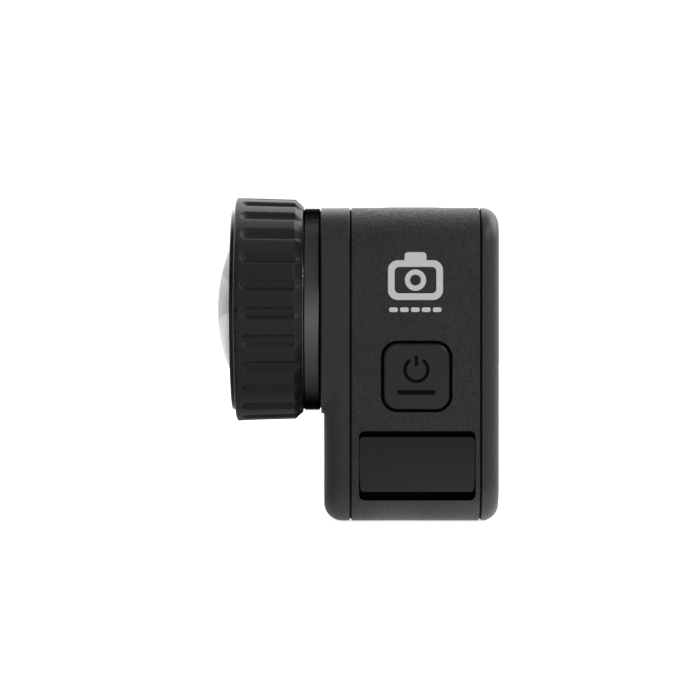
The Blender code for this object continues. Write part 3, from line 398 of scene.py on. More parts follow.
def rounded_edges(tree):
    """Near 1 where the surface turns between the axes, which is where edges rub bright."""
    normal = add_node(tree, "ShaderNodeTexCoord").outputs["Normal"]
    size = add_node(tree, "ShaderNodeVectorMath", {"operation": "ABSOLUTE"}, at0=normal)
    parts = add_node(tree, "ShaderNodeSeparateXYZ", Vector=size.outputs[0])
    across = calc(tree, "MAXIMUM", parts.outputs[0], parts.outputs[1])
    most = calc(tree, "MAXIMUM", across, parts.outputs[2])
    return remap(tree, most, 0.97, 0.72, 0.0, 1.0)


def mix_colour(tree, amount, first, second):
    """Blend two colours by an amount."""
    found = tree.nodes.new("ShaderNodeMix")
    found.data_type = "RGBA"
    for socket, value in ((found.inputs["Factor"], amount), (found.inputs[6], first),
                          (found.inputs[7], second)):
        if isinstance(value, bpy.types.NodeSocket):
            tree.links.new(value, socket)
        else:
            socket.default_value = value if isinstance(value, float) else (*value[:3], 1.0)
    return found.outputs[2]


def scaled(colour, share):
    """A colour made lighter or darker."""
    return tuple(min(1.0, channel * share) for channel in colour)


def emboss(tree, shader, height, depth, strength=1.0):
    """Bump a surface by a pattern, to a depth in millimetres."""
    relief = add_node(tree, "ShaderNodeBump", Strength=strength, Distance=depth * MM, Height=height)
    tree.links.new(relief.outputs["Normal"], shader.inputs["Normal"])


def surface(name, colour, lift, roughness, spread, grain, bump, mottle=90.0, wear=0.35,
            metallic=0.0, specular=0.5):
    """A moulded or machined surface: grain, cloudy colour, rubbed edges and uneven gloss."""
    material, tree, shader, coords = new_finish(name)
    fine = noise(tree, coords, grain, 3.0, 0.7)
    cloud = noise(tree, coords, mottle, 4.0)
    light = scaled(colour, lift)
    lightness = calc(tree, "MULTIPLY", remap(tree, fine, 0.35, 0.7, 0.0, 1.0),
                     remap(tree, cloud, 0.3, 0.7, 0.55, 1.0))
    base = mix_colour(tree, lightness, colour, light)
    scuff = calc(tree, "MULTIPLY", rounded_edges(tree), remap(tree, cloud, 0.35, 0.75, 0.0, wear))
    tree.links.new(mix_colour(tree, scuff, base, scaled(light, 1.35)), shader.inputs["Base Color"])
    gloss = remap(tree, fine, 0.3, 0.7, roughness - spread, roughness + spread)
    tree.links.new(gloss, shader.inputs["Roughness"])
    shader.inputs["Metallic"].default_value = metallic
    shader.inputs["Specular IOR Level"].default_value = specular
    emboss(tree, shader, fine, bump)
    return material


def metal_with_painted_shade(name, colour, lift, roughness, spread, grain, bump, metallic):
    """Satin metal at the bottom of a groove, with painted shade: its colour darkens where it turns up or
    down from the middle.
    """
    material = surface(name, colour, lift, roughness, spread, grain, bump, metallic=metallic)
    tree = material.node_tree
    shader = tree.nodes["Principled BSDF"]
    even = shader.inputs["Base Color"].links[0].from_socket
    coords = add_node(tree, "ShaderNodeTexCoord").outputs["Object"]
    height = add_node(tree, "ShaderNodeSeparateXYZ", Vector=coords).outputs["Z"]
    away = calc(tree, "ABSOLUTE", calc(tree, "SUBTRACT", height, LENS_Z * MM))
    # Painted shade: the colour darkens with height above or below the lens axis, standing in for the darker
    # reflections there.
    shadow = remap(tree, away, 2.0 * MM, 16.0 * MM, 0.0, 0.85)
    tree.links.new(mix_colour(tree, shadow, even, (0.022, 0.022, 0.022)), shader.inputs["Base Color"])
    shader.inputs["Specular Tint"].default_value = (0.05, 0.05, 0.05, 1.0)
    return material


def brushed_metal(name, colour, roughness, stretch):
    """Metal with fine lines along one axis."""
    material, tree, shader, coords = new_finish(name)
    lined = add_node(tree, "ShaderNodeMapping", Vector=coords, Scale=stretch).outputs["Vector"]
    lines = noise(tree, lined, 2500.0, 2.0)
    tree.links.new(mix_colour(tree, lines, scaled(colour, 0.75), colour), shader.inputs["Base Color"])
    tree.links.new(remap(tree, lines, 0.3, 0.7, roughness - 0.08, roughness + 0.12),
                   shader.inputs["Roughness"])
    shader.inputs["Metallic"].default_value = 1.0
    emboss(tree, shader, lines, 0.01, 0.5)
    return material


def lens_glass(name, tint, roughness=0.0, painted_darkening=None, gloss=0.5):
    """Clear glass with a faint tint and traces of dust.

    Painted shade darkens its colour from one y to another and above a slanting level, all in millimetres.
    """
    material, tree, shader, coords = new_finish(name)
    dust = noise(tree, coords, 1800.0, 2.0)
    colour = mix_colour(tree, remap(tree, dust, 0.62, 0.8, 0.0, 1.0), tint, scaled(tint, 0.93))
    # Painted shade: darker away from the tip and over a slanting upper part.
    if painted_darkening:
        parts = add_node(tree, "ShaderNodeSeparateXYZ", Vector=coords)
        depth = remap(tree, parts.outputs["Y"], painted_darkening[0] * MM, painted_darkening[1] * MM, 0.0, 1.0)
        colour = mix_colour(tree, depth, colour, scaled(tint, 0.25))
        lean = calc(tree, "MULTIPLY_ADD", parts.outputs["Y"], PAINTED_DARKENING_SLOPE, parts.outputs["Z"])
        upper = remap(tree, lean, painted_darkening[2] * MM, (painted_darkening[2] + 0.5) * MM, 0.0, 0.75)
        colour = mix_colour(tree, upper, colour, scaled(tint, 0.06))
    tree.links.new(colour, shader.inputs["Base Color"])
    shader.inputs["Specular IOR Level"].default_value = gloss
    tree.links.new(remap(tree, dust, 0.70, 0.95, roughness, roughness + 0.008),
                   shader.inputs["Roughness"])
    shader.inputs["Transmission Weight"].default_value = 1.0
    shader.inputs["IOR"].default_value = 1.5
    return material


def black_glass(name, colour, smear, gloss):
    """Polished black glass or lacquer with faint smears."""
    material, tree, shader, coords = new_finish(name)
    wipe = add_node(tree, "ShaderNodeMapping", Vector=coords, Rotation=(0.3, 0.5, 0.2),
                    Scale=(1.0, 1.0, 0.25)).outputs["Vector"]
    haze = noise(tree, wipe, 160.0, 5.0)
    tree.links.new(mix_colour(tree, haze, colour, scaled(colour, 1.6)), shader.inputs["Base Color"])
    tree.links.new(remap(tree, haze, 0.4, 0.75, 0.06, 0.06 + smear), shader.inputs["Roughness"])
    shader.inputs["Specular IOR Level"].default_value = gloss
    return material


def circuit_board(name):
    """Green solder mask with copper-like tracks."""
    material, tree, shader, coords = new_finish(name)
    tracks = add_node(tree, "ShaderNodeTexBrick", Vector=coords, Scale=260.0, Mortar_Size=0.08)
    tracks.inputs["Color1"].default_value = (0.010, 0.075, 0.030, 1.0)
    tracks.inputs["Color2"].default_value = (0.014, 0.100, 0.040, 1.0)
    tracks.inputs["Mortar"].default_value = (0.25, 0.18, 0.05, 1.0)
    tree.links.new(tracks.outputs["Color"], shader.inputs["Base Color"])
    shader.inputs["Roughness"].default_value = 0.35
    emboss(tree, shader, tracks.outputs["Fac"], 0.03, 0.4)
    return material


def woven_ribbon(name, colour):
    """A woven ribbon."""
    material, tree, shader, coords = new_finish(name)
    weave = add_node(tree, "ShaderNodeTexWave", {"wave_type": "BANDS", "bands_direction": "Z"},
                     Vector=coords, Scale=900.0, Distortion=0.4).outputs["Fac"]
    tree.links.new(mix_colour(tree, weave, scaled(colour, 0.5), colour), shader.inputs["Base Color"])
    shader.inputs["Roughness"].default_value = 0.8
    emboss(tree, shader, weave, 0.05, 0.6)
    return material


def glowing_pipe(name, colour):
    """A tinted light pipe."""
    material, tree, shader, coords = new_finish(name)
    cloud = noise(tree, coords, 900.0, 2.0)
    tree.links.new(mix_colour(tree, cloud, scaled(colour, 0.6), colour), shader.inputs["Base Color"])
    shader.inputs["Roughness"].default_value = 0.2
    shader.inputs["Coat Weight"].default_value = 0.6
    return material


HOUSING = surface("grained_housing", (0.0050, 0.0050, 0.0052), 5.5, 0.47, 0.14, 2100.0, 0.30,
                  specular=0.34)
COVER = surface("smooth_cover", (0.0145, 0.0145, 0.0149), 1.18, 0.46, 0.05, 5200.0, 0.008,
                specular=0.38)
BUTTON = surface("button_moulding", (0.0100, 0.0100, 0.0103), 1.20, 0.38, 0.04, 5200.0, 0.005,
                 specular=0.34)
PLATE = surface("plate_moulding", (0.0060, 0.0060, 0.0063), 1.15, 0.33, 0.03, 5200.0, 0.004,
                specular=0.30)
RUBBER = surface("grip_rubber", (0.0075, 0.0075, 0.0078), 1.35, 0.50, 0.05, 4200.0, 0.012,
                 wear=0.6, specular=0.26)
# The band's colour carries painted shade, darker towards its top and bottom.
BAND = metal_with_painted_shade("satin_band", (0.1150, 0.1150, 0.1170), 1.05, 0.30, 0.03, 6500.0, 0.003,
                      metallic=1.0)
# Dark ink for the engraved marks, also used as painted shade on button flanges and in the microphone holes.
INK_AND_SHADE = surface("dark_ink_and_shade", (0.0022, 0.0022, 0.0023), 1.3, 0.60, 0.05, 5200.0, 0.004, specular=0.05)
PRINT = surface("grey_print", (0.520, 0.520, 0.526), 1.12, 0.55, 0.05, 5200.0, 0.004)
# Dark finish for inner parts, also used as painted shade on the housing's opening walls.
INNER_AND_SHADE = surface("inner_and_shade_moulding", (0.0025, 0.0025, 0.0026), 1.2, 0.70, 0.05, 3800.0, 0.010,
                specular=0.06)
SEAL = surface("seal_rubber", (0.0030, 0.0030, 0.0032), 1.3, 0.80, 0.06, 3000.0, 0.015, specular=0.06)
CHIP = surface("chip_moulding", (0.012, 0.012, 0.013), 1.3, 0.50, 0.05, 4000.0, 0.006, specular=0.3)
SLEEVE = surface("battery_sleeve", (0.20, 0.205, 0.215), 1.15, 0.50, 0.06, 2600.0, 0.010)
POLISHED = black_glass("polished_black", (0.0030, 0.0030, 0.0032), 0.12, 0.18)
SCREEN = black_glass("screen_glass", (0.0035, 0.0037, 0.0045), 0.04, 0.5)
DOME_TIP = span("mod_dome")[0].y
# The dome's colour carries painted shade: darker away from its tip and over its upper part.
GLASS = lens_glass("dome_glass", (0.60, 0.615, 0.61),
                   gloss=0.12,
                   painted_darkening=(DOME_TIP + 0.2, DOME_TIP + 2.6, 41.8 + PAINTED_DARKENING_SLOPE * (DOME_TIP + 2.2)))
COATED = lens_glass("coated_glass", (0.62, 0.72, 0.86))
STEEL = brushed_metal("brushed_steel", (0.52, 0.52, 0.53), 0.30, (1.0, 0.05, 1.0))
SHEET = brushed_metal("aluminium_sheet", (0.72, 0.73, 0.74), 0.38, (0.05, 1.0, 1.0))
BOARD = circuit_board("circuit_board")
RIBBON = woven_ribbon("pull_ribbon", (0.04, 0.16, 0.40))
GLOW = glowing_pipe("status_pipe", (0.22, 0.030, 0.026))


# ---- geometry node trees ----

def new_tree(name, numbers):
    """A geometry node tree with a geometry input and named number inputs."""
    tree = bpy.data.node_groups.new(name, "GeometryNodeTree")
    tree.interface.new_socket("Geometry", in_out="INPUT", socket_type="NodeSocketGeometry")
    tree.interface.new_socket("Geometry", in_out="OUTPUT", socket_type="NodeSocketGeometry")
    tree.interface.new_socket("Material", in_out="INPUT", socket_type="NodeSocketMaterial")
    for key, kind in numbers:
        tree.interface.new_socket(key, in_out="INPUT", socket_type=kind)
    return tree, tree.nodes.new("NodeGroupInput"), tree.nodes.new("NodeGroupOutput")


def finish_tree(tree, geometry, given, output):
    """End a tree with realised instances and its material."""
    real = tree.nodes.new("GeometryNodeRealizeInstances")
    coat = tree.nodes.new("GeometryNodeSetMaterial")
    tree.links.new(geometry, real.inputs["Geometry"])
    tree.links.new(real.outputs["Geometry"], coat.inputs["Geometry"])
    tree.links.new(given.outputs["Material"], coat.inputs["Material"])
    tree.links.new(coat.outputs["Geometry"], output.inputs["Geometry"])


def run_tree(thing, tree, values):
    """Put a tree on an object, set its inputs by identifier and settle the result."""
    modifier = thing.modifiers.new(tree.name, "NODES")
    modifier.node_group = tree
    for entry in tree.interface.items_tree:
        if entry.item_type == "SOCKET" and entry.in_out == "INPUT" and entry.name in values:
            modifier[entry.identifier] = values[entry.name]
    return settle(thing)


def flute_tree():
    """Sink evenly spaced, round-ended channels into the outside of a turned ring."""
    floats = ["Centre X", "Centre Z", "Phase", "Half Width", "Depth", "Back", "Front", "Least Radius"]
    tree, given, output = new_tree("flutes", [("Count", "NodeSocketInt")]
                                   + [(key, "NodeSocketFloat") for key in floats])
    position = tree.nodes.new("GeometryNodeInputPosition").outputs[0]
    split = tree.nodes.new("ShaderNodeSeparateXYZ")
    tree.links.new(position, split.inputs[0])
    across = calc(tree, "SUBTRACT", split.outputs["X"], given.outputs["Centre X"])
    up = calc(tree, "SUBTRACT", split.outputs["Z"], given.outputs["Centre Z"])
    radius = calc(tree, "SQRT", calc(tree, "ADD", calc(tree, "MULTIPLY", across, across),
                                     calc(tree, "MULTIPLY", up, up)))
    angle = calc(tree, "SUBTRACT", calc(tree, "ARCTAN2", up, across), given.outputs["Phase"])
    pitch = calc(tree, "DIVIDE", 2 * math.pi, given.outputs["Count"])
    nearest = calc(tree, "MULTIPLY", calc(tree, "ROUND", calc(tree, "DIVIDE", angle, pitch)), pitch)
    side = calc(tree, "MULTIPLY", radius, calc(tree, "SUBTRACT", angle, nearest))
    forward = calc(tree, "MULTIPLY", split.outputs["Y"], -1.0)
    beyond = calc(tree, "MAXIMUM", calc(tree, "SUBTRACT", forward, given.outputs["Front"]),
                  calc(tree, "SUBTRACT", given.outputs["Back"], forward))
    beyond = calc(tree, "MAXIMUM", beyond, 0.0)
    reach = calc(tree, "SQRT", calc(tree, "ADD", calc(tree, "MULTIPLY", side, side),
                                    calc(tree, "MULTIPLY", beyond, beyond)))
    share = tree.nodes.new("ShaderNodeMapRange")
    share.interpolation_type = "SMOOTHSTEP"
    tree.links.new(calc(tree, "DIVIDE", reach, given.outputs["Half Width"]), share.inputs["Value"])
    share.inputs["From Min"].default_value = 1.0
    share.inputs["From Max"].default_value = 0.3
    outside = calc(tree, "GREATER_THAN", radius, given.outputs["Least Radius"])
    sink = calc(tree, "MULTIPLY", calc(tree, "MULTIPLY", share.outputs["Result"], outside),
                given.outputs["Depth"])
    scale = calc(tree, "DIVIDE", calc(tree, "MULTIPLY", sink, -1.0), radius)
    move = tree.nodes.new("ShaderNodeCombineXYZ")
    tree.links.new(calc(tree, "MULTIPLY", across, scale), move.inputs["X"])
    tree.links.new(calc(tree, "MULTIPLY", up, scale), move.inputs["Z"])
    shift = tree.nodes.new("GeometryNodeSetPosition")
    tree.links.new(given.outputs["Geometry"], shift.inputs["Geometry"])
    tree.links.new(move.outputs[0], shift.inputs["Offset"])
    finish_tree(tree, shift.outputs["Geometry"], given, output)
    return tree


def row_tree():
    """Repeat a mesh along a line."""
    tree, given, output = new_tree("row", [("Count", "NodeSocketInt"), ("Step", "NodeSocketVector")])
    line = tree.nodes.new("GeometryNodeMeshLine")
    line.mode = "OFFSET"
    tree.links.new(given.outputs["Count"], line.inputs["Count"])
    tree.links.new(given.outputs["Step"], line.inputs["Offset"])
    copies = tree.nodes.new("GeometryNodeInstanceOnPoints")
    tree.links.new(line.outputs["Mesh"], copies.inputs["Points"])
    tree.links.new(given.outputs["Geometry"], copies.inputs["Instance"])
    finish_tree(tree, copies.outputs["Instances"], given, output)
    return tree


FLUTE_TREE = flute_tree()
ROW_TREE = row_tree()


def row_of(name, solid, count, step, material):
    """A row of equal pieces."""
    return run_tree(make_object(name, solid), ROW_TREE,
                    {"Count": count, "Step": metres(step), "Material": material})


# ---- body shells ----

def body_outline(low_y, high_y, inset, rim_low=0.0, rim_high=0.0, rim_steps=RIM_STEPS):
    """The body's rounded outline, brought in on every side, between two depths."""
    return rounded_box((-SIDE_X + inset, low_y, inset), (SIDE_X - inset, high_y, TOP - inset), 1,
                       CORNER_ROUND - inset, rim_low=rim_low, rim_high=rim_high, rim_steps=rim_steps)


def on_outline(point, margin=0.02):
    """Whether a point lies on the body's outer outline, seen from the front."""
    flat_x = max(0.0, abs(point.x) - (SIDE_X - CORNER_ROUND))
    flat_z = max(0.0, abs(point.z - TOP / 2) - (TOP / 2 - CORNER_ROUND))
    if flat_x == 0.0 or flat_z == 0.0:
        return max(flat_x, flat_z) > CORNER_ROUND - margin
    return math.hypot(flat_x, flat_z) > CORNER_ROUND - margin


def near_frame(node, a, b, grow):
    """The low and high corners of a node in two axes, grown on every side."""
    low, high = span(node)
    return (low[a] - grow, low[b] - grow), (high[a] + grow, high[b] + grow)


def front_cover():
    """The front cover with its raised boss, window seat and ribbed lower panel."""
    cover = make_object("front_cover", body_outline(FRONT_FACE, FRONT_SEAM, 0.0, rim_low=RIM_ROUND,
                                                    rim_high=SEAM_ROUND))
    boss = make_object("boss", rounded_box(
        (LENS_X - BOSS_HALF, FRONT_FACE - BOSS_PROUD, LENS_Z - BOSS_HALF),
        (LENS_X + BOSS_HALF, FRONT_SEAM - FIT, LENS_Z + BOSS_HALF), 1, BOSS_CORNER, rim_low=0.25,
        rim_steps=4))
    clip = make_object("clip", body_outline(FRONT_FACE - BOSS_PROUD - 1, 0.0, 0.04))
    combine(boss, clip, "INTERSECT")
    combine(cover, boss, "UNION")
    cut(cover, body_outline(FRONT_FACE + PANEL_WALL, 0.0, WALL, rim_low=1.2, rim_steps=4))
    ring = span("bayonet_ring")
    cut(cover, rod((ring[1].x - ring[0].x) / 2 + FIT, (LENS_X, 0.0, LENS_Z),
                   (LENS_X, FRONT_FACE - 2, LENS_Z), STEPS))
    cut_glass_seat(cover, "front_window", FRONT_FACE, -1)
    for node in ("front_status_light", "front_microphone_mesh"):
        low, high = span(node)
        x, z = (low.x + high.x) / 2, (low.z + high.z) / 2
        cut(cover, rod((high.x - low.x) / 2 + FIT, (x, FRONT_FACE - 1, z), (x, 0.0, z)))
    soften(cover, lambda p: abs(p.y - FRONT_FACE) < 0.01 and p.x < LENS_X - BOSS_HALF, MOUTH_ROUND)
    soften(cover, lambda p: abs(p.y - FRONT_FACE) < 0.01 and p.z < LENS_Z - BOSS_HALF - 1, MOUTH_ROUND)
    place(shade(cover), "camera_body", "moulded", COVER, "front_shell")
    low, _ = span("front_window")
    rib = rounded_box((low.x, FRONT_FACE - 0.22, 14.6), (low.x + 31.0, FRONT_FACE + 0.2, 15.2), 0, 0.28,
                      steps=4)
    ribs = row_of("front_ribs", rib, 7, (0.0, 0.0, 1.35), COVER)
    place(shade(ribs), "camera_body", "moulded", COVER)


def cut_glass_seat(shell, node, face, outward):
    """The seat that a glass plate lies in and the window behind it."""
    (low_x, low_z), (high_x, high_z) = near_frame(node, 0, 2, FIT)
    low, high = span(node)
    bottom = (high.y + FIT) if outward < 0 else (low.y - FIT)
    near, far = sorted((bottom, face + outward))
    cut(shell, rounded_box((low_x, near, low_z), (high_x, far, high_z), 1, 3.0 + FIT, steps=10))
    edge = 2.5 + FIT
    near, far = sorted((0.0, face + outward))
    cut(shell, rounded_box((low_x + edge, near, low_z + edge), (high_x - edge, far, high_z - edge), 1,
                           1.0, steps=4))


def middle_housing():
    """The grained housing between the covers, with all its openings."""
    housing = make_object("middle_housing", body_outline(MID_LOW.y, MID_HIGH.y, 0.0, rim_low=SEAM_ROUND,
                                                         rim_high=SEAM_ROUND, rim_steps=3))
    cut(housing, body_outline(MID_LOW.y - 1, MID_HIGH.y + 1, WALL))
    inner = SIDE_X - WALL
    low, high = mode_cap(0.43)
    cut(housing, rounded_box((inner - 1, *low), (SIDE_X + 1, *high), 0, 2.93, steps=14))
    low, high = speaker_opening()
    cut(housing, rounded_box((inner - 1, *low), (SIDE_X + 1, *high), 0, 1.05, steps=8))
    low, high = shutter_cap(0.35)
    cut(housing, rounded_box((*low, TOP - WALL - 1), (*high, TOP + 1), 2, 4.35, steps=14))
    door_low, door_high = near_frame("battery_door", 1, 2, FIT)
    opening = box((-SIDE_X - 1, *door_low), (-inner + 1, *door_high))
    bevel(opening, edges_along(opening, 0, lambda p: p.z < TOP / 2), 3.3, 10)
    cut(housing, opening)
    latch_low, latch_high = near_frame("door_latch", 1, 2, FIT)
    bottom = span("door_latch")[1].x + FIT
    cut(housing, box((-SIDE_X - 1, *latch_low), (bottom, latch_high[0], door_low[1] + 1)))
    pin_low, pin_high = span("door_hinge_pin")
    middle_x, middle_z = (pin_low.x + pin_high.x) / 2, (pin_low.z + pin_high.z) / 2
    cut(housing, rod(HINGE_BORE, (middle_x, pin_low.y - 0.2, middle_z),
                     (middle_x, pin_high.y + 0.2, middle_z), 24))
    base_low, base_high = near_frame("finger_base", 0, 1, FIT)
    cut(housing, rounded_box((*base_low, -1), (*base_high, WALL + 1), 2, 2.3, steps=8))
    soften(housing, lambda p: abs(p.x) > SIDE_X - 0.01 and MID_LOW.y + 0.3 < p.y < MID_HIGH.y - 0.3,
           MOUTH_ROUND)
    soften(housing, lambda p: (p.z > TOP - 0.01 or p.z < 0.01)
           and MID_LOW.y + 0.3 < p.y < MID_HIGH.y - 0.3 and abs(p.x) < SIDE_X - CORNER_ROUND, MOUTH_ROUND)
    shade(housing)
    paint(housing, HOUSING)
    # Painted shade: faces inside the openings take the darker inner finish, so the housing's own walls look
    # shaded there.
    housing.data.materials.append(INNER_AND_SHADE)
    for face in housing.data.polygons:
        middle = face.center / MM
        shaded_inside = not on_outline(middle, 0.3) and MID_LOW.y + 0.05 < middle.y < MID_HIGH.y - 0.05
        face.material_index = 1 if shaded_inside else 0
    place(housing, "camera_body", "moulded", None, "mid_housing")


def rear_cover():
    """The rear cover with the seat of the touch glass."""
    cover = make_object("rear_cover", body_outline(REAR_SEAM, REAR_FACE, 0.0, rim_low=SEAM_ROUND,
                                                   rim_high=RIM_ROUND))
    cut(cover, body_outline(0.0, REAR_FACE - PANEL_WALL, WALL))
    cut_glass_seat(cover, "rear_touch_glass", REAR_FACE, 1)
    low, high = span("rear_status_light")
    x, z = (low.x + high.x) / 2, (low.z + high.z) / 2
    cut(cover, rod((high.x - low.x) / 2 + FIT, (x, 0.0, z), (x, REAR_FACE + 1, z)))
    soften(cover, lambda p: abs(p.y - REAR_FACE) < 0.01, MOUTH_ROUND)
    place(shade(cover), "camera_body", "moulded", COVER, "rear_shell")


def seam_gaskets():
    """Dark gaskets that close the two seams a little below the surface."""
    for piece, low_y, high_y in (("front_gasket", FRONT_SEAM, MID_LOW.y),
                                 ("rear_gasket", MID_HIGH.y, REAR_SEAM)):
        strip = make_object(piece, body_outline(low_y - 0.15, high_y + 0.15, 0.35))
        cut(strip, body_outline(low_y - 1, high_y + 1, 1.7))
        place(shade(strip), "camera_body", "rubber", SEAL)
    _, back, band = turned("mod_barrel")
    lip = lathe("seating_lip", [(band - 0.4, back + 0.1, 0.0), (band - 0.4, back - FIT + 0.06, 0.0),
                                (band - 2.4, back - FIT + 0.06, 0.0), (band - 2.4, back + 0.1, 0.0)])
    place(shade(lip), "lens_module", "rubber", SEAL)


def speaker_opening():
    """The speaker opening's corners: the plate's width, with a slot above and one below."""
    low, high = span("speaker_plate")
    return (low.y - 0.12, low.z - 1.4), (high.y + 0.12, high.z + 1.05)


def mode_cap(grow=0.0):
    """The mode button's cap, without its hidden flange, as (y, z) corners."""
    return near_frame("mode_button", 1, 2, grow - FLANGE)


def shutter_cap(grow=0.0):
    """The shutter button's cap, without its hidden flange, as (x, y) corners."""
    return near_frame("shutter_button", 0, 1, grow - FLANGE)


# ---- buttons, plate, windows and marks ----

def stroke(points, width, depth):
    """A flattened round line through (y, z) points on the side face, as a cutter."""
    curve = bpy.data.curves.new("stroke", "CURVE")
    curve.dimensions = "3D"
    curve.bevel_depth = width / 2 * MM
    curve.bevel_resolution = 4
    curve.use_fill_caps = True
    line = curve.splines.new("POLY")
    line.points.add(len(points) - 1)
    for point, (y, z) in zip(line.points, points):
        point.co = (0.0, y * MM, z * MM, 1.0)
    thing = bpy.data.objects.new("stroke", curve)
    bpy.context.scene.collection.objects.link(thing)
    mesh = bpy.data.meshes.new_from_object(thing.evaluated_get(bpy.context.evaluated_depsgraph_get()))
    bpy.data.objects.remove(thing, do_unlink=True)
    solid = bmesh.new()
    solid.from_mesh(mesh)
    bmesh.ops.remove_doubles(solid, verts=solid.verts, dist=SAME)
    bmesh.ops.scale(solid, vec=(depth / (width / 2), 1.0, 1.0), verts=solid.verts)
    face = span("mode_button")[1].x
    bmesh.ops.translate(solid, vec=metres((face, 0.0, 0.0)), verts=solid.verts)
    bmesh.ops.recalc_face_normals(solid, faces=solid.faces)
    cutter = make_object("engraving", solid)
    paint(cutter, INK_AND_SHADE)
    return cutter


def mode_button():
    """The square side button with an engraved on-off sign over a plain bar."""
    node_low, node_high = span("mode_button")
    low, high = mode_cap()
    cap = make_object("mode_cap", rounded_box((node_low.x + 0.2, *low), (node_high.x, *high), 0, 2.5,
                                              steps=16, rim_high=0.55, rim_steps=6))
    flange = make_object("flange", rounded_box((node_low.x, low[0] - FLANGE, low[1] - FLANGE),
                                               (node_low.x + FLANGE_THICK, high[0] + FLANGE,
                                                high[1] + FLANGE), 0, 3.7, steps=10))
    paint(cap, BUTTON)
    # Painted shade: the flange that shows in the gap round the cap is painted near black.
    paint(flange, INK_AND_SHADE)
    combine(cap, flange, "UNION")
    middle = (low[0] + high[0]) / 2 - 0.05
    centre = (low[1] + high[1]) / 2 + 1.15
    radius = 2.0
    ring = []
    for step in range(49):
        angle = math.radians(124 + 292 * step / 48)
        ring.append((middle + radius * math.cos(angle), centre + radius * math.sin(angle)))
    combine(cap, stroke(ring, 0.6, ENGRAVED), "DIFFERENCE")
    combine(cap, stroke([(middle, centre + 0.7), (middle, centre + 2.45)], 0.6, ENGRAVED), "DIFFERENCE")
    bar = centre - 3.9
    combine(cap, stroke([(middle - 3.3, bar), (middle + 3.3, bar)], 0.8, ENGRAVED), "DIFFERENCE")
    place(shade(cap, 50.0), "mode_button", "moulded", None, "mode_button")


def shutter_button():
    """The long top button with a shallow ring on it."""
    node_low, node_high = span("shutter_button")
    low, high = shutter_cap()
    cap = make_object("shutter_cap", rounded_box((*low, node_low.z + 0.2), (*high, node_high.z), 2, 4.0,
                                                 steps=16, rim_high=0.8, rim_steps=8))
    flange = make_object("flange", rounded_box((low[0] - FLANGE, low[1] - FLANGE, node_low.z),
                                               (high[0] + FLANGE, high[1] + FLANGE,
                                                node_low.z + FLANGE_THICK), 2, 5.2, steps=10))
    paint(cap, BUTTON)
    # Painted shade: the flange that shows in the gap round the cap is painted near black.
    paint(flange, INK_AND_SHADE)
    combine(cap, flange, "UNION")
    x, y = (low[0] + high[0]) / 2, (low[1] + high[1]) / 2
    groove = bmesh.new()
    bmesh.ops.create_circle(groove, segments=12, radius=0.28 * MM, matrix=Matrix.Translation(
        metres((x + 3.2, y, node_high.z))) @ Matrix.Rotation(math.radians(90), 4, "X"))
    bmesh.ops.spin(groove, geom=list(groove.verts) + list(groove.edges), cent=metres((x, y, 0.0)),
                   axis=(0.0, 0.0, 1.0), angle=math.radians(360), steps=64, use_merge=True,
                   use_duplicate=False)
    bmesh.ops.remove_doubles(groove, verts=groove.verts, dist=SAME)
    bmesh.ops.recalc_face_normals(groove, faces=groove.faces)
    ring = make_object("groove", groove)
    paint(ring, GLOW)
    combine(cap, ring, "DIFFERENCE")
    place(shade(cap, 50.0), "shutter_button", "moulded", None, "shutter_button")


def speaker():
    """The cover plate, and the woven mesh that shows in the slots above and below it."""
    low, high = span("speaker_plate")
    solid = rounded_box(low, high, 0, 0.7, steps=6)
    rim = [edge for edge in solid.edges if all(abs(v.co.x - high.x * MM) < SAME for v in edge.verts)]
    lower = [edge for edge in rim if all(v.co.z < (low.z + 0.75) * MM for v in edge.verts)]
    upper = [edge for edge in rim if edge not in lower]
    bevel(solid, lower, 0.62, 2)
    bevel(solid, [edge for edge in upper if edge.is_valid], 0.2, 3)
    plate = make_object("speaker_cover", solid)
    core_x, core_z = high.x - SPEAKER_CROWN, (low.z + high.z) / 2
    crown = rod(SPEAKER_CROWN, (core_x, low.y - 1, core_z), (core_x, high.y + 1, core_z), 720)
    combine(plate, make_object("crown", crown), "INTERSECT")
    place(shade(plate), "camera_body", "moulded", PLATE, "speaker_plate")
    low, high = span("speaker_mesh")
    middle = (low.x + high.x) / 2
    margin = Vector((0.0, 0.6, 0.6))
    low, high = low - margin, high + margin
    first_y, first_z = low.y + WIRE_RADIUS, low.z + WIRE_RADIUS
    upright = rod(WIRE_RADIUS, (middle, first_y, low.z), (middle, first_y, high.z), 6)
    across = rod(WIRE_RADIUS, (middle, low.y, first_z), (middle, high.y, first_z), 6)
    wires = row_of("speaker_wires", upright, int((high.y - low.y) / WIRE_PITCH), (0.0, WIRE_PITCH, 0.0),
                   INNER_AND_SHADE)
    cross = row_of("cross_wires", across, int((high.z - low.z) / WIRE_PITCH), (0.0, 0.0, WIRE_PITCH),
                   INNER_AND_SHADE)
    cloth = make_object("speaker_cloth", box(low, (middle - 0.12, high.y, high.z)))
    solid = bmesh.new()
    for thing in (wires, cross, cloth):
        solid.from_mesh(thing.data)
        if thing is not wires:
            bpy.data.objects.remove(thing, do_unlink=True)
    solid.to_mesh(wires.data)
    solid.free()
    place(wires, "camera_body", "chip", INNER_AND_SHADE, "speaker_mesh")


def window_plates():
    """The two polished glass plates, each with a softened edge."""
    for node, piece, rim in (("front_window", "front_glass", "rim_low"),
                             ("rear_touch_glass", "rear_glass", "rim_high")):
        low, high = span(node)
        plate = make_object(piece, rounded_box(low, high, 1, 3.0, steps=14, rim_steps=5, **{rim: 0.3}))
        place(shade(plate), "camera_body", "gloss", SCREEN, node)


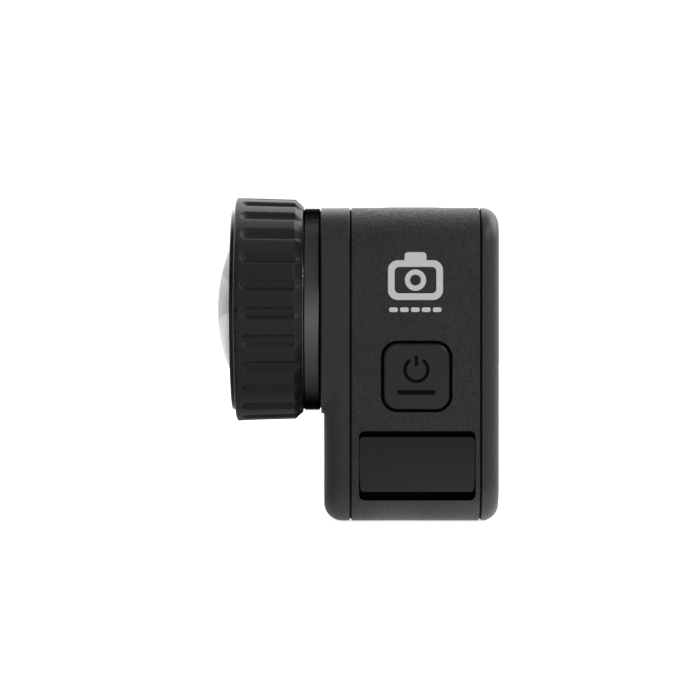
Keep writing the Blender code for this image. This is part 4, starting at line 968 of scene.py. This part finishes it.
def printed_mark():
    """A plain camera pictogram over a row of dashes, printed on the side."""
    low_y, high_y, low_z, high_z = -4.14, 5.42, 38.7, 45.6
    back, front = SIDE_X - 0.02, SIDE_X + 0.02
    line = 1.15
    mark = make_object("side_mark", rounded_box((back, low_y, low_z), (front, high_y, high_z), 0, 1.7,
                                                steps=12))
    middle_y, middle_z = (low_y + high_y) / 2, (low_z + high_z) / 2
    hump = make_object("hump", rounded_box((back, middle_y - 1.9, high_z - 1.0),
                                           (front, middle_y + 1.9, high_z + 1.4), 0, 0.6, steps=6))
    combine(mark, hump, "UNION")
    cut(mark, rounded_box((back - 1, low_y + line, low_z + line), (front + 1, high_y - line, high_z - line),
                          0, 0.8, steps=8))
    lens = make_object("lens", rod(1.85, (back, middle_y, middle_z), (front, middle_y, middle_z)))
    cut(lens, rod(0.95, (back - 1, middle_y, middle_z), (front + 1, middle_y, middle_z)))
    combine(mark, lens, "UNION")
    place(mark, "camera_body", "moulded", PRINT)
    width, gap, count = 1.5, 0.4, 5
    dash = rounded_box((back, low_y + 0.2, 36.6), (front, low_y + 0.2 + width, 37.4), 0, 0.3, steps=5)
    dashes = row_of("side_dashes", dash, count, (0.0, width + gap, 0.0), PRINT)
    place(dashes, "camera_body", "moulded", PRINT)


# ---- battery door and fingers ----

def battery_door():
    """The side door with its rounded hinge edge and the way of its latch."""
    low, high = span("battery_door")
    axis = joint("door_swing")["pos_m"]
    hinge_z = axis[2] / MM
    solid = box(low, high)
    bevel(solid, edges_along(solid, 0, lambda p: p.z < TOP / 2), 3.0, 12)
    bevel(solid, edges_along(solid, 1, lambda p: p.z > hinge_z), (high.x - low.x) / 2 - 0.02, 10)
    door = make_object("door_shell", solid)
    x = axis[0] / MM
    cut(door, rod(HINGE_BORE, (x, low.y - 1, hinge_z), (x, high.y + 1, hinge_z), 24))
    latch_low, latch_high = near_frame("door_latch", 1, 2, FIT)
    bottom = span("door_latch")[1].x + FIT
    cut(door, box((low.x - 1, latch_low[0], low.z - 1), (bottom, latch_high[0], latch_high[1] + 2.0)))
    soften(door, lambda p: p.x < low.x + 0.01, MOUTH_ROUND)
    place(shade(door), "battery_door", "moulded", HOUSING, "battery_door")

    low, high = span("door_latch")
    latch = make_object("latch_slider", rounded_box(low, high, 0, 0.8, steps=6, rim_low=0.15, rim_steps=3))
    for number in range(3):
        level = high.z - 1.4 - 1.5 * number
        cut(latch, rounded_box((low.x - 1, low.y + 1.2, level - 0.35), (low.x + 0.3, high.y - 1.2,
                                                                       level + 0.35), 1, 0.2, steps=4))
    soften(latch, lambda p: p.x < low.x + 0.01 and p.z > low.z + 2, 0.1, 2)
    place(shade(latch), "door_latch", "satin", BUTTON, "door_latch")


def door_well():
    """The wall beside the battery bay that closes the door's opening."""
    bay_low, bay_high = span("battery_bay")
    door_low, door_high = span("battery_door")
    wall = make_object("door_well_wall", rounded_box(
        (bay_low.x + 0.1, bay_high.y + 0.1, door_low.z - 0.6),
        (bay_low.x + 0.7, door_high.y + 1.4, door_high.z + 1.4), 0, 1.0, steps=6))
    place(shade(wall), "camera_body", "moulded", INNER_AND_SHADE)


def fingers():
    """The two folding fingers and the base that they fold into."""
    for word, side in (("left", -1), ("right", 1)):
        node = "finger_" + word
        low, high = span(node)
        pivot_x, _, pivot_z = [value / MM for value in joint(node + "_fold")["pos_m"]]
        middle = (low.x + high.x) / 2
        half = (high.y - low.y) / 2
        solid = box(low, high)
        bevel(solid, edges_along(solid, 2, lambda p: side * (p.x - middle) > 0), half - 0.05, 24)
        bevel(solid, edges_along(solid, 1, lambda p: side * (p.x - middle) < 0),
              (high.z - low.z) / 2 - 0.02, 10)
        finger = make_object("mount_finger_" + word, solid)
        bore = side * (abs(high.x if side > 0 else low.x) - half)
        cut(finger, rod(SCREW_BORE, (bore, 0.0, -1.0), (bore, 0.0, 6.0), 64))
        cut(finger, rod(FINGER_PIN_BORE, (pivot_x, low.y - 1, pivot_z), (pivot_x, high.y + 1, pivot_z), 24))
        soften(finger, lambda p: side * (p.x - pivot_x) > 1.6, 0.3, 4)
        place(shade(finger), node, "satin", COVER, node)
    low, high = span("finger_base")
    base = make_object("finger_seat", rounded_box(low, high, 2, 2.0, steps=8, rim_low=0.15, rim_steps=3))
    for side in (-1, 1):
        finger_low, finger_high = span("finger_right")
        near, far = finger_low.x - FIT, finger_high.x + FIT
        half = finger_high.y + FIT
        pocket = box((min(side * near, side * far), -half, -1.0),
                     (max(side * near, side * far), half, finger_high.z + FIT))
        bevel(pocket, edges_along(pocket, 2, lambda p: side * p.x > (near + far) / 2), half - 0.05, 24)
        cut(base, pocket)
        x, _, z = [value / MM for value in joint("finger_right_fold")["pos_m"]]
        cut(base, rod(FINGER_PIN_BORE, (side * x, low.y - 1, z), (side * x, high.y + 1, z), 16))
    soften(base, lambda p: p.z < 0.01 and abs(p.y) < high.y - 0.5 and abs(p.x) < high.x - 0.5, 0.15)
    place(shade(base), "camera_body", "moulded", COVER, "finger_base")


# ---- lens module ----

def grip_ring():
    """The fluted rubber ring."""
    front, back, wide = turned("mod_grip_ring")
    slim = wide - GRIP_DRAFT
    hole = turned("mod_barrel")[2] + 0.1
    cone = back + GRIP_CONE_LENGTH
    points = [(hole, front, 0.1), (wide, front, 0.75)]
    rows = 40
    for step in range(1, rows):
        share = step / rows
        points.append((wide - GRIP_DRAFT * share, front + (cone - front) * share, 0.0))
    points += [(slim, cone, 0.35), (hole + 0.25, back, 0.15), (hole, back, 0.05)]
    ring = lathe("grip_ring", points, steps=24 * FLUTES)
    run_tree(ring, FLUTE_TREE, {
        "Count": FLUTES, "Centre X": LENS_X * MM, "Centre Z": LENS_Z * MM,
        "Phase": math.radians(FLUTE_PHASE), "Half Width": FLUTE_HALF_WIDTH * MM,
        "Depth": FLUTE_DEPTH * MM, "Back": (back + FLUTE_BACK_MARGIN) * MM,
        "Front": (front - FLUTE_FRONT_MARGIN) * MM, "Least Radius": (hole + 0.7) * MM,
        "Material": RUBBER})
    ring.data.shade_smooth()
    ring.data.set_sharp_from_angle(angle=math.radians(60))
    place(ring, "lens_module", "rubber", RUBBER, "mod_grip_ring")


def barrel_and_bezel():
    """The barrel with its satin band, and the polished ring round the dome."""
    front, back, band = turned("mod_barrel")
    band_front = turned("mod_grip_ring")[1] - FIT
    tube = band - 0.2
    seat = turned("mod_dome")[2] + FIT
    cell = turned("mod_lens_cell")[2] + FIT
    bottom = turned("mod_dome_seal")[1] - FIT
    barrel = lathe("barrel", [(seat, front, 0.1), (tube, front, 0.1), (tube, band_front + 0.2, 0.0),
                              (band - 0.25, band_front + 0.12, 0.0), (band, band_front - 0.12, 0.1),
                              (band, back, 0.22), (cell, back, 0.1), (cell, bottom, 0.0),
                              (seat, bottom, 0.0)])
    place(shade(barrel, 40.0), "lens_module", "satin", BAND, "mod_barrel")
    front, back, outer = turned("mod_bezel_ring")
    bezel = lathe("bezel_ring", [(BEZEL_INNER, front - 0.62, 0.08), (outer - 1.7, front + 0.28, 0.5),
                                 (outer, front + 0.24, 0.30), (outer, back, 0.08),
                                 (outer - 1.0, back, 0.05), (BEZEL_INNER, back + 0.15, 0.05)])
    place(shade(bezel, 40.0), "lens_module", "gloss", POLISHED, "mod_bezel_ring")


def module_glass():
    """The thick front dome and the two elements behind it."""
    apex, back, rim = turned("mod_dome")
    centre = apex - DOME_SPHERE
    flat = rim - 1.4
    outer = sphere_arc(centre, DOME_SPHERE, 0.0, rim, 28)
    inner = sphere_arc(centre, DOME_SPHERE - DOME_THICK, flat, 0.0, 24)
    dome = lathe("dome", outer + [(rim, back, 0.0)] + inner)
    place(shade(dome, 40.0), "lens_module", "lens_glass", GLASS, "mod_dome")
    for node, piece, sphere in (("mod_front_element", "second_element", 24.0),
                                ("mod_rear_element", "third_element", 30.0),
                                ("camera_front_element", "front_element", 18.0)):
        apex, back, rim = turned(node)
        face = sphere_arc(apex - sphere, sphere, 0.0, rim, 16)
        element = lathe(piece, face + [(rim, back, 0.0), (0.0, back, 0.0)], steps=96)
        body = "camera_body" if node.startswith("camera") else "lens_module"
        place(shade(element, 40.0), body, "lens_glass", COATED, node)


def lens_cell():
    """The black cell round the elements, with fine steps that catch stray light."""
    front, back, outer = turned("mod_lens_cell")
    mouth = outer - 1.7
    seat = front - 3.0
    wide = outer - 2.8
    narrow = outer - 6.8
    shelf = back + 1.3
    points = [(mouth, front, 0.1), (outer, front, 0.1), (outer, back, 0.1), (narrow - 1.1, back, 0.0),
              (narrow - 1.1, shelf, 0.0), (narrow, shelf, 0.0), (narrow, shelf + 2.5, 0.0),
              (wide - 1.3, seat - 0.6, 0.0), (wide - 1.3, seat, 0.0), (wide, seat, 0.0),
              (wide, front - 0.8, 0.0), (mouth, front - 0.8, 0.0)]
    cell = lathe("lens_cell", points)
    place(shade(cell, 30.0), "lens_module", "moulded", INNER_AND_SHADE, "mod_lens_cell")
    front, back, outer = turned("mod_element_ring")
    inner = outer - 1.5
    points = [(outer, front, 0.05), (outer, back, 0.05), (inner, back, 0.0)]
    for step in range(4):
        level = back + (front - back) * step / 4
        points += [(inner + 0.35 * step, level + (front - back) / 8, 0.0),
                   (inner + 0.35 * (step + 1) - 0.08, level + (front - back) / 4, 0.0)]
    ring = lathe("element_ring", points[::-1])
    place(shade(ring, 20.0), "lens_module", "satin", INNER_AND_SHADE, "mod_element_ring")


def camera_lens():
    """The camera's own lens barrel, with a softened front edge."""
    front, back, flange = turned("camera_lens_barrel")
    radius = OWN_BARREL_RADIUS
    bore = radius - 2.8
    seat = front - 2.2
    element = radius - 1.3
    barrel = lathe("own_lens_barrel", [(element, front, 0.1), (radius, front, 0.3),
                                       (radius, back + 1.6, 0.0), (flange, back + 1.6, 0.1),
                                       (flange, back, 0.1), (bore, back, 0.0), (bore, seat, 0.0),
                                       (element, seat, 0.0)], steps=96)
    place(shade(barrel, 40.0), "camera_body", "moulded", INNER_AND_SHADE, "camera_lens_barrel")


def status_lights():
    """Small tinted domes in the front and rear covers."""
    for node, piece, front_fillet, back_fillet in (("front_status_light", "front_light", 0.25, 0.0),
                                                   ("rear_status_light", "rear_light", 0.0, 0.25)):
        low, high = span(node)
        x, z = (low.x + high.x) / 2, (low.z + high.z) / 2
        front, back = -low.y, -high.y
        radius = (high.x - low.x) / 2
        points = [(0.0, front, 0.0), (radius, front, front_fillet), (radius, back, back_fillet),
                  (0.0, back, 0.0)]
        light = lathe(piece, points, centre=(x, z), steps=40)
        place(shade(light, 40.0), "camera_body", "status_light", GLOW, node)


def microphone():
    """The front microphone's cover: a disc with a ring of sound holes round a middle one."""
    low, high = span("front_microphone_mesh")
    x, z = (low.x + high.x) / 2, (low.z + high.z) / 2
    radius = (high.x - low.x) / 2
    front, back = -low.y, -high.y
    cover = lathe("microphone_cover", [(0.0, front, 0.0), (radius, front, 0.12), (radius, back, 0.0),
                                       (0.0, back, 0.0)], centre=(x, z), steps=48)
    paint(cover, CHIP)
    depth = min(0.4, (high.y - low.y) * 0.6)
    for hole in range(7):
        turn = math.radians(60 * hole)
        reach = 0.0 if hole == 6 else radius * 0.56
        spot = (x + reach * math.cos(turn), z + reach * math.sin(turn))
        drill = make_object("drill", rod(radius * 0.15, (spot[0], low.y - 0.5, spot[1]),
                                         (spot[0], low.y + depth, spot[1]), 20))
        # Painted shade: the sound holes' walls and bottoms take the near-black ink.
        paint(drill, INK_AND_SHADE)
        combine(cover, drill, "DIFFERENCE")
    place(shade(cover, 40.0), "camera_body", "chip", None, "front_microphone_mesh")


INNER_FINISHES = (
    (SEAL, "front_seal rear_seal door_seal mod_dome_seal"),
    (INNER_AND_SHADE, "battery_bay"),
    (SLEEVE, "battery"),
    (RIBBON, "battery_pull_tab"),
    (STEEL, "usb_port door_hinge_pin finger_pin_left finger_pin_right mod_bayonet "
            "board_screw_1 board_screw_2 board_screw_3 board_screw_4"),
    (BAND, "bayonet_ring"),
    (COATED, "camera_inner_element"),
    (SCREEN, "image_sensor front_display rear_display"),
    (BOARD, "sensor_board main_board"),
    (CHIP, "memory_card processor mode_switch shutter_switch speaker_unit"),
    (SHEET, "heat_spreader"),
)


def finish_inner_nodes():
    """Better materials for the CAD nodes that stay as they are."""
    for material, nodes in INNER_FINISHES:
        for node in nodes.split():
            for slot in frame["nodes"][node].material_slots:
                slot.material = material


# ---- floor, light and camera ----

def by_ray(tree, ray, others, seen):
    """One strength for rays from the camera, another for all the rest."""
    mix = tree.nodes.new("ShaderNodeMix")
    mix.data_type = "FLOAT"
    tree.links.new(ray, mix.inputs[0])
    tree.links.new(others, mix.inputs[2])
    mix.inputs[3].default_value = seen
    return mix.outputs[0]


def floor():
    """A pale floor that runs far past the picture and throws little light back up."""
    solid = bmesh.new()
    bmesh.ops.create_grid(solid, x_segments=1, y_segments=1, size=6.0)
    bmesh.ops.translate(solid, vec=(0.0, 0.0, -0.00005), verts=solid.verts)
    ground = make_object("floor", solid)
    material, tree, shader, coords = new_finish("pale_floor")
    shader.inputs["Roughness"].default_value = 0.9
    shader.inputs["Specular IOR Level"].default_value = 0.0
    shader.inputs["Emission Color"].default_value = (1.0, 1.0, 1.0, 1.0)
    parts = add_node(tree, "ShaderNodeSeparateXYZ", Vector=coords)
    close_by = calc(tree, "MULTIPLY", remap(tree, parts.outputs["X"], *FLOOR_NEAR_X),
                    remap(tree, parts.outputs["Y"], *FLOOR_NEAR_Y))
    thrown = calc(tree, "MAXIMUM", close_by, remap(tree, parts.outputs["X"], *FLOOR_FAR_X))
    ray = add_node(tree, "ShaderNodeLightPath").outputs["Is Camera Ray"]
    tree.links.new(mix_colour(tree, ray, (0.5, 0.5, 0.5), (0.8, 0.8, 0.8)), shader.inputs["Base Color"])
    tree.links.new(by_ray(tree, ray, thrown, FLOOR_SEEN), shader.inputs["Emission Strength"])
    ground.data.materials.append(material)


def sky():
    """A white surround: bright behind the object, a low glow on the side with the buttons."""
    world = bpy.data.worlds.new("studio")
    bpy.context.scene.world = world
    world.use_nodes = True
    tree = world.node_tree
    background = tree.nodes["Background"]
    way = add_node(tree, "ShaderNodeTexCoord").outputs["Generated"]
    parts = add_node(tree, "ShaderNodeSeparateXYZ", Vector=way)
    x, y, z = [parts.outputs[axis] for axis in "XYZ"]
    behind = calc(tree, "MULTIPLY_ADD", remap(tree, x, *SKY_BACK_X), remap(tree, z, *SKY_BACK_Z),
                  remap(tree, z, *SKY_CEILING_Z))
    level = remap(tree, calc(tree, "ABSOLUTE", z), *SKY_LEVEL_Z)
    flank = calc(tree, "MULTIPLY", remap(tree, y, *SKY_SIDE_Y), remap(tree, x, *SKY_AHEAD_X))
    ring = calc(tree, "ADD", remap(tree, x, *SKY_NEAR_X), flank)
    others = calc(tree, "ADD", behind, calc(tree, "MULTIPLY", level, ring))
    ray = add_node(tree, "ShaderNodeLightPath").outputs["Is Camera Ray"]
    tree.links.new(by_ray(tree, ray, others, SKY_SEEN), background.inputs["Strength"])
    background.inputs["Color"].default_value = (1.0, 1.0, 1.0, 1.0)


def soft_light(name, place_mm, size_mm, power):
    """One square soft light aimed at the camera body's middle."""
    data = bpy.data.lights.new(name, "AREA")
    data.shape = "SQUARE"
    data.size = size_mm * MM
    data.energy = power
    lamp = bpy.data.objects.new(name, data)
    lamp.location = metres(place_mm)
    aim = metres((*STAGE_AIM, TOP / 2)) - lamp.location
    lamp.rotation_euler = aim.to_track_quat("-Z", "Y").to_euler()
    bpy.context.scene.collection.objects.link(lamp)


def camera():
    """The camera, level and square to the side."""
    data = bpy.data.cameras.new("camera")
    data.sensor_width = SENSOR
    data.lens = (CAMERA_DISTANCE - PLANE_OF_SCALE) * SENSOR / VIEW_WIDTH
    data.clip_start = 0.01
    data.clip_end = 100.0
    seen = bpy.data.objects.new("camera", data)
    seen.location = metres((CAMERA_DISTANCE, CAMERA_Y, CAMERA_Z))
    seen.rotation_euler = (math.radians(90), 0.0, math.radians(90))
    bpy.context.scene.collection.objects.link(seen)
    bpy.context.scene.camera = seen


def main():
    """Build the pieces, the stage and the camera."""
    camera()
    front_cover()
    middle_housing()
    rear_cover()
    seam_gaskets()
    mode_button()
    shutter_button()
    speaker()
    window_plates()
    printed_mark()
    battery_door()
    door_well()
    fingers()
    grip_ring()
    barrel_and_bezel()
    module_glass()
    lens_cell()
    camera_lens()
    status_lights()
    microphone()
    finish_inner_nodes()
    floor()
    sky()
    soft_light("rear_light", (-150.0, 620.0, 480.0), 400.0, 3.0)
    soft_light("key_light", (430.0, 380.0, 420.0), 120.0, 1.5)
    bpy.context.scene.view_settings.view_transform = "Standard"


main()
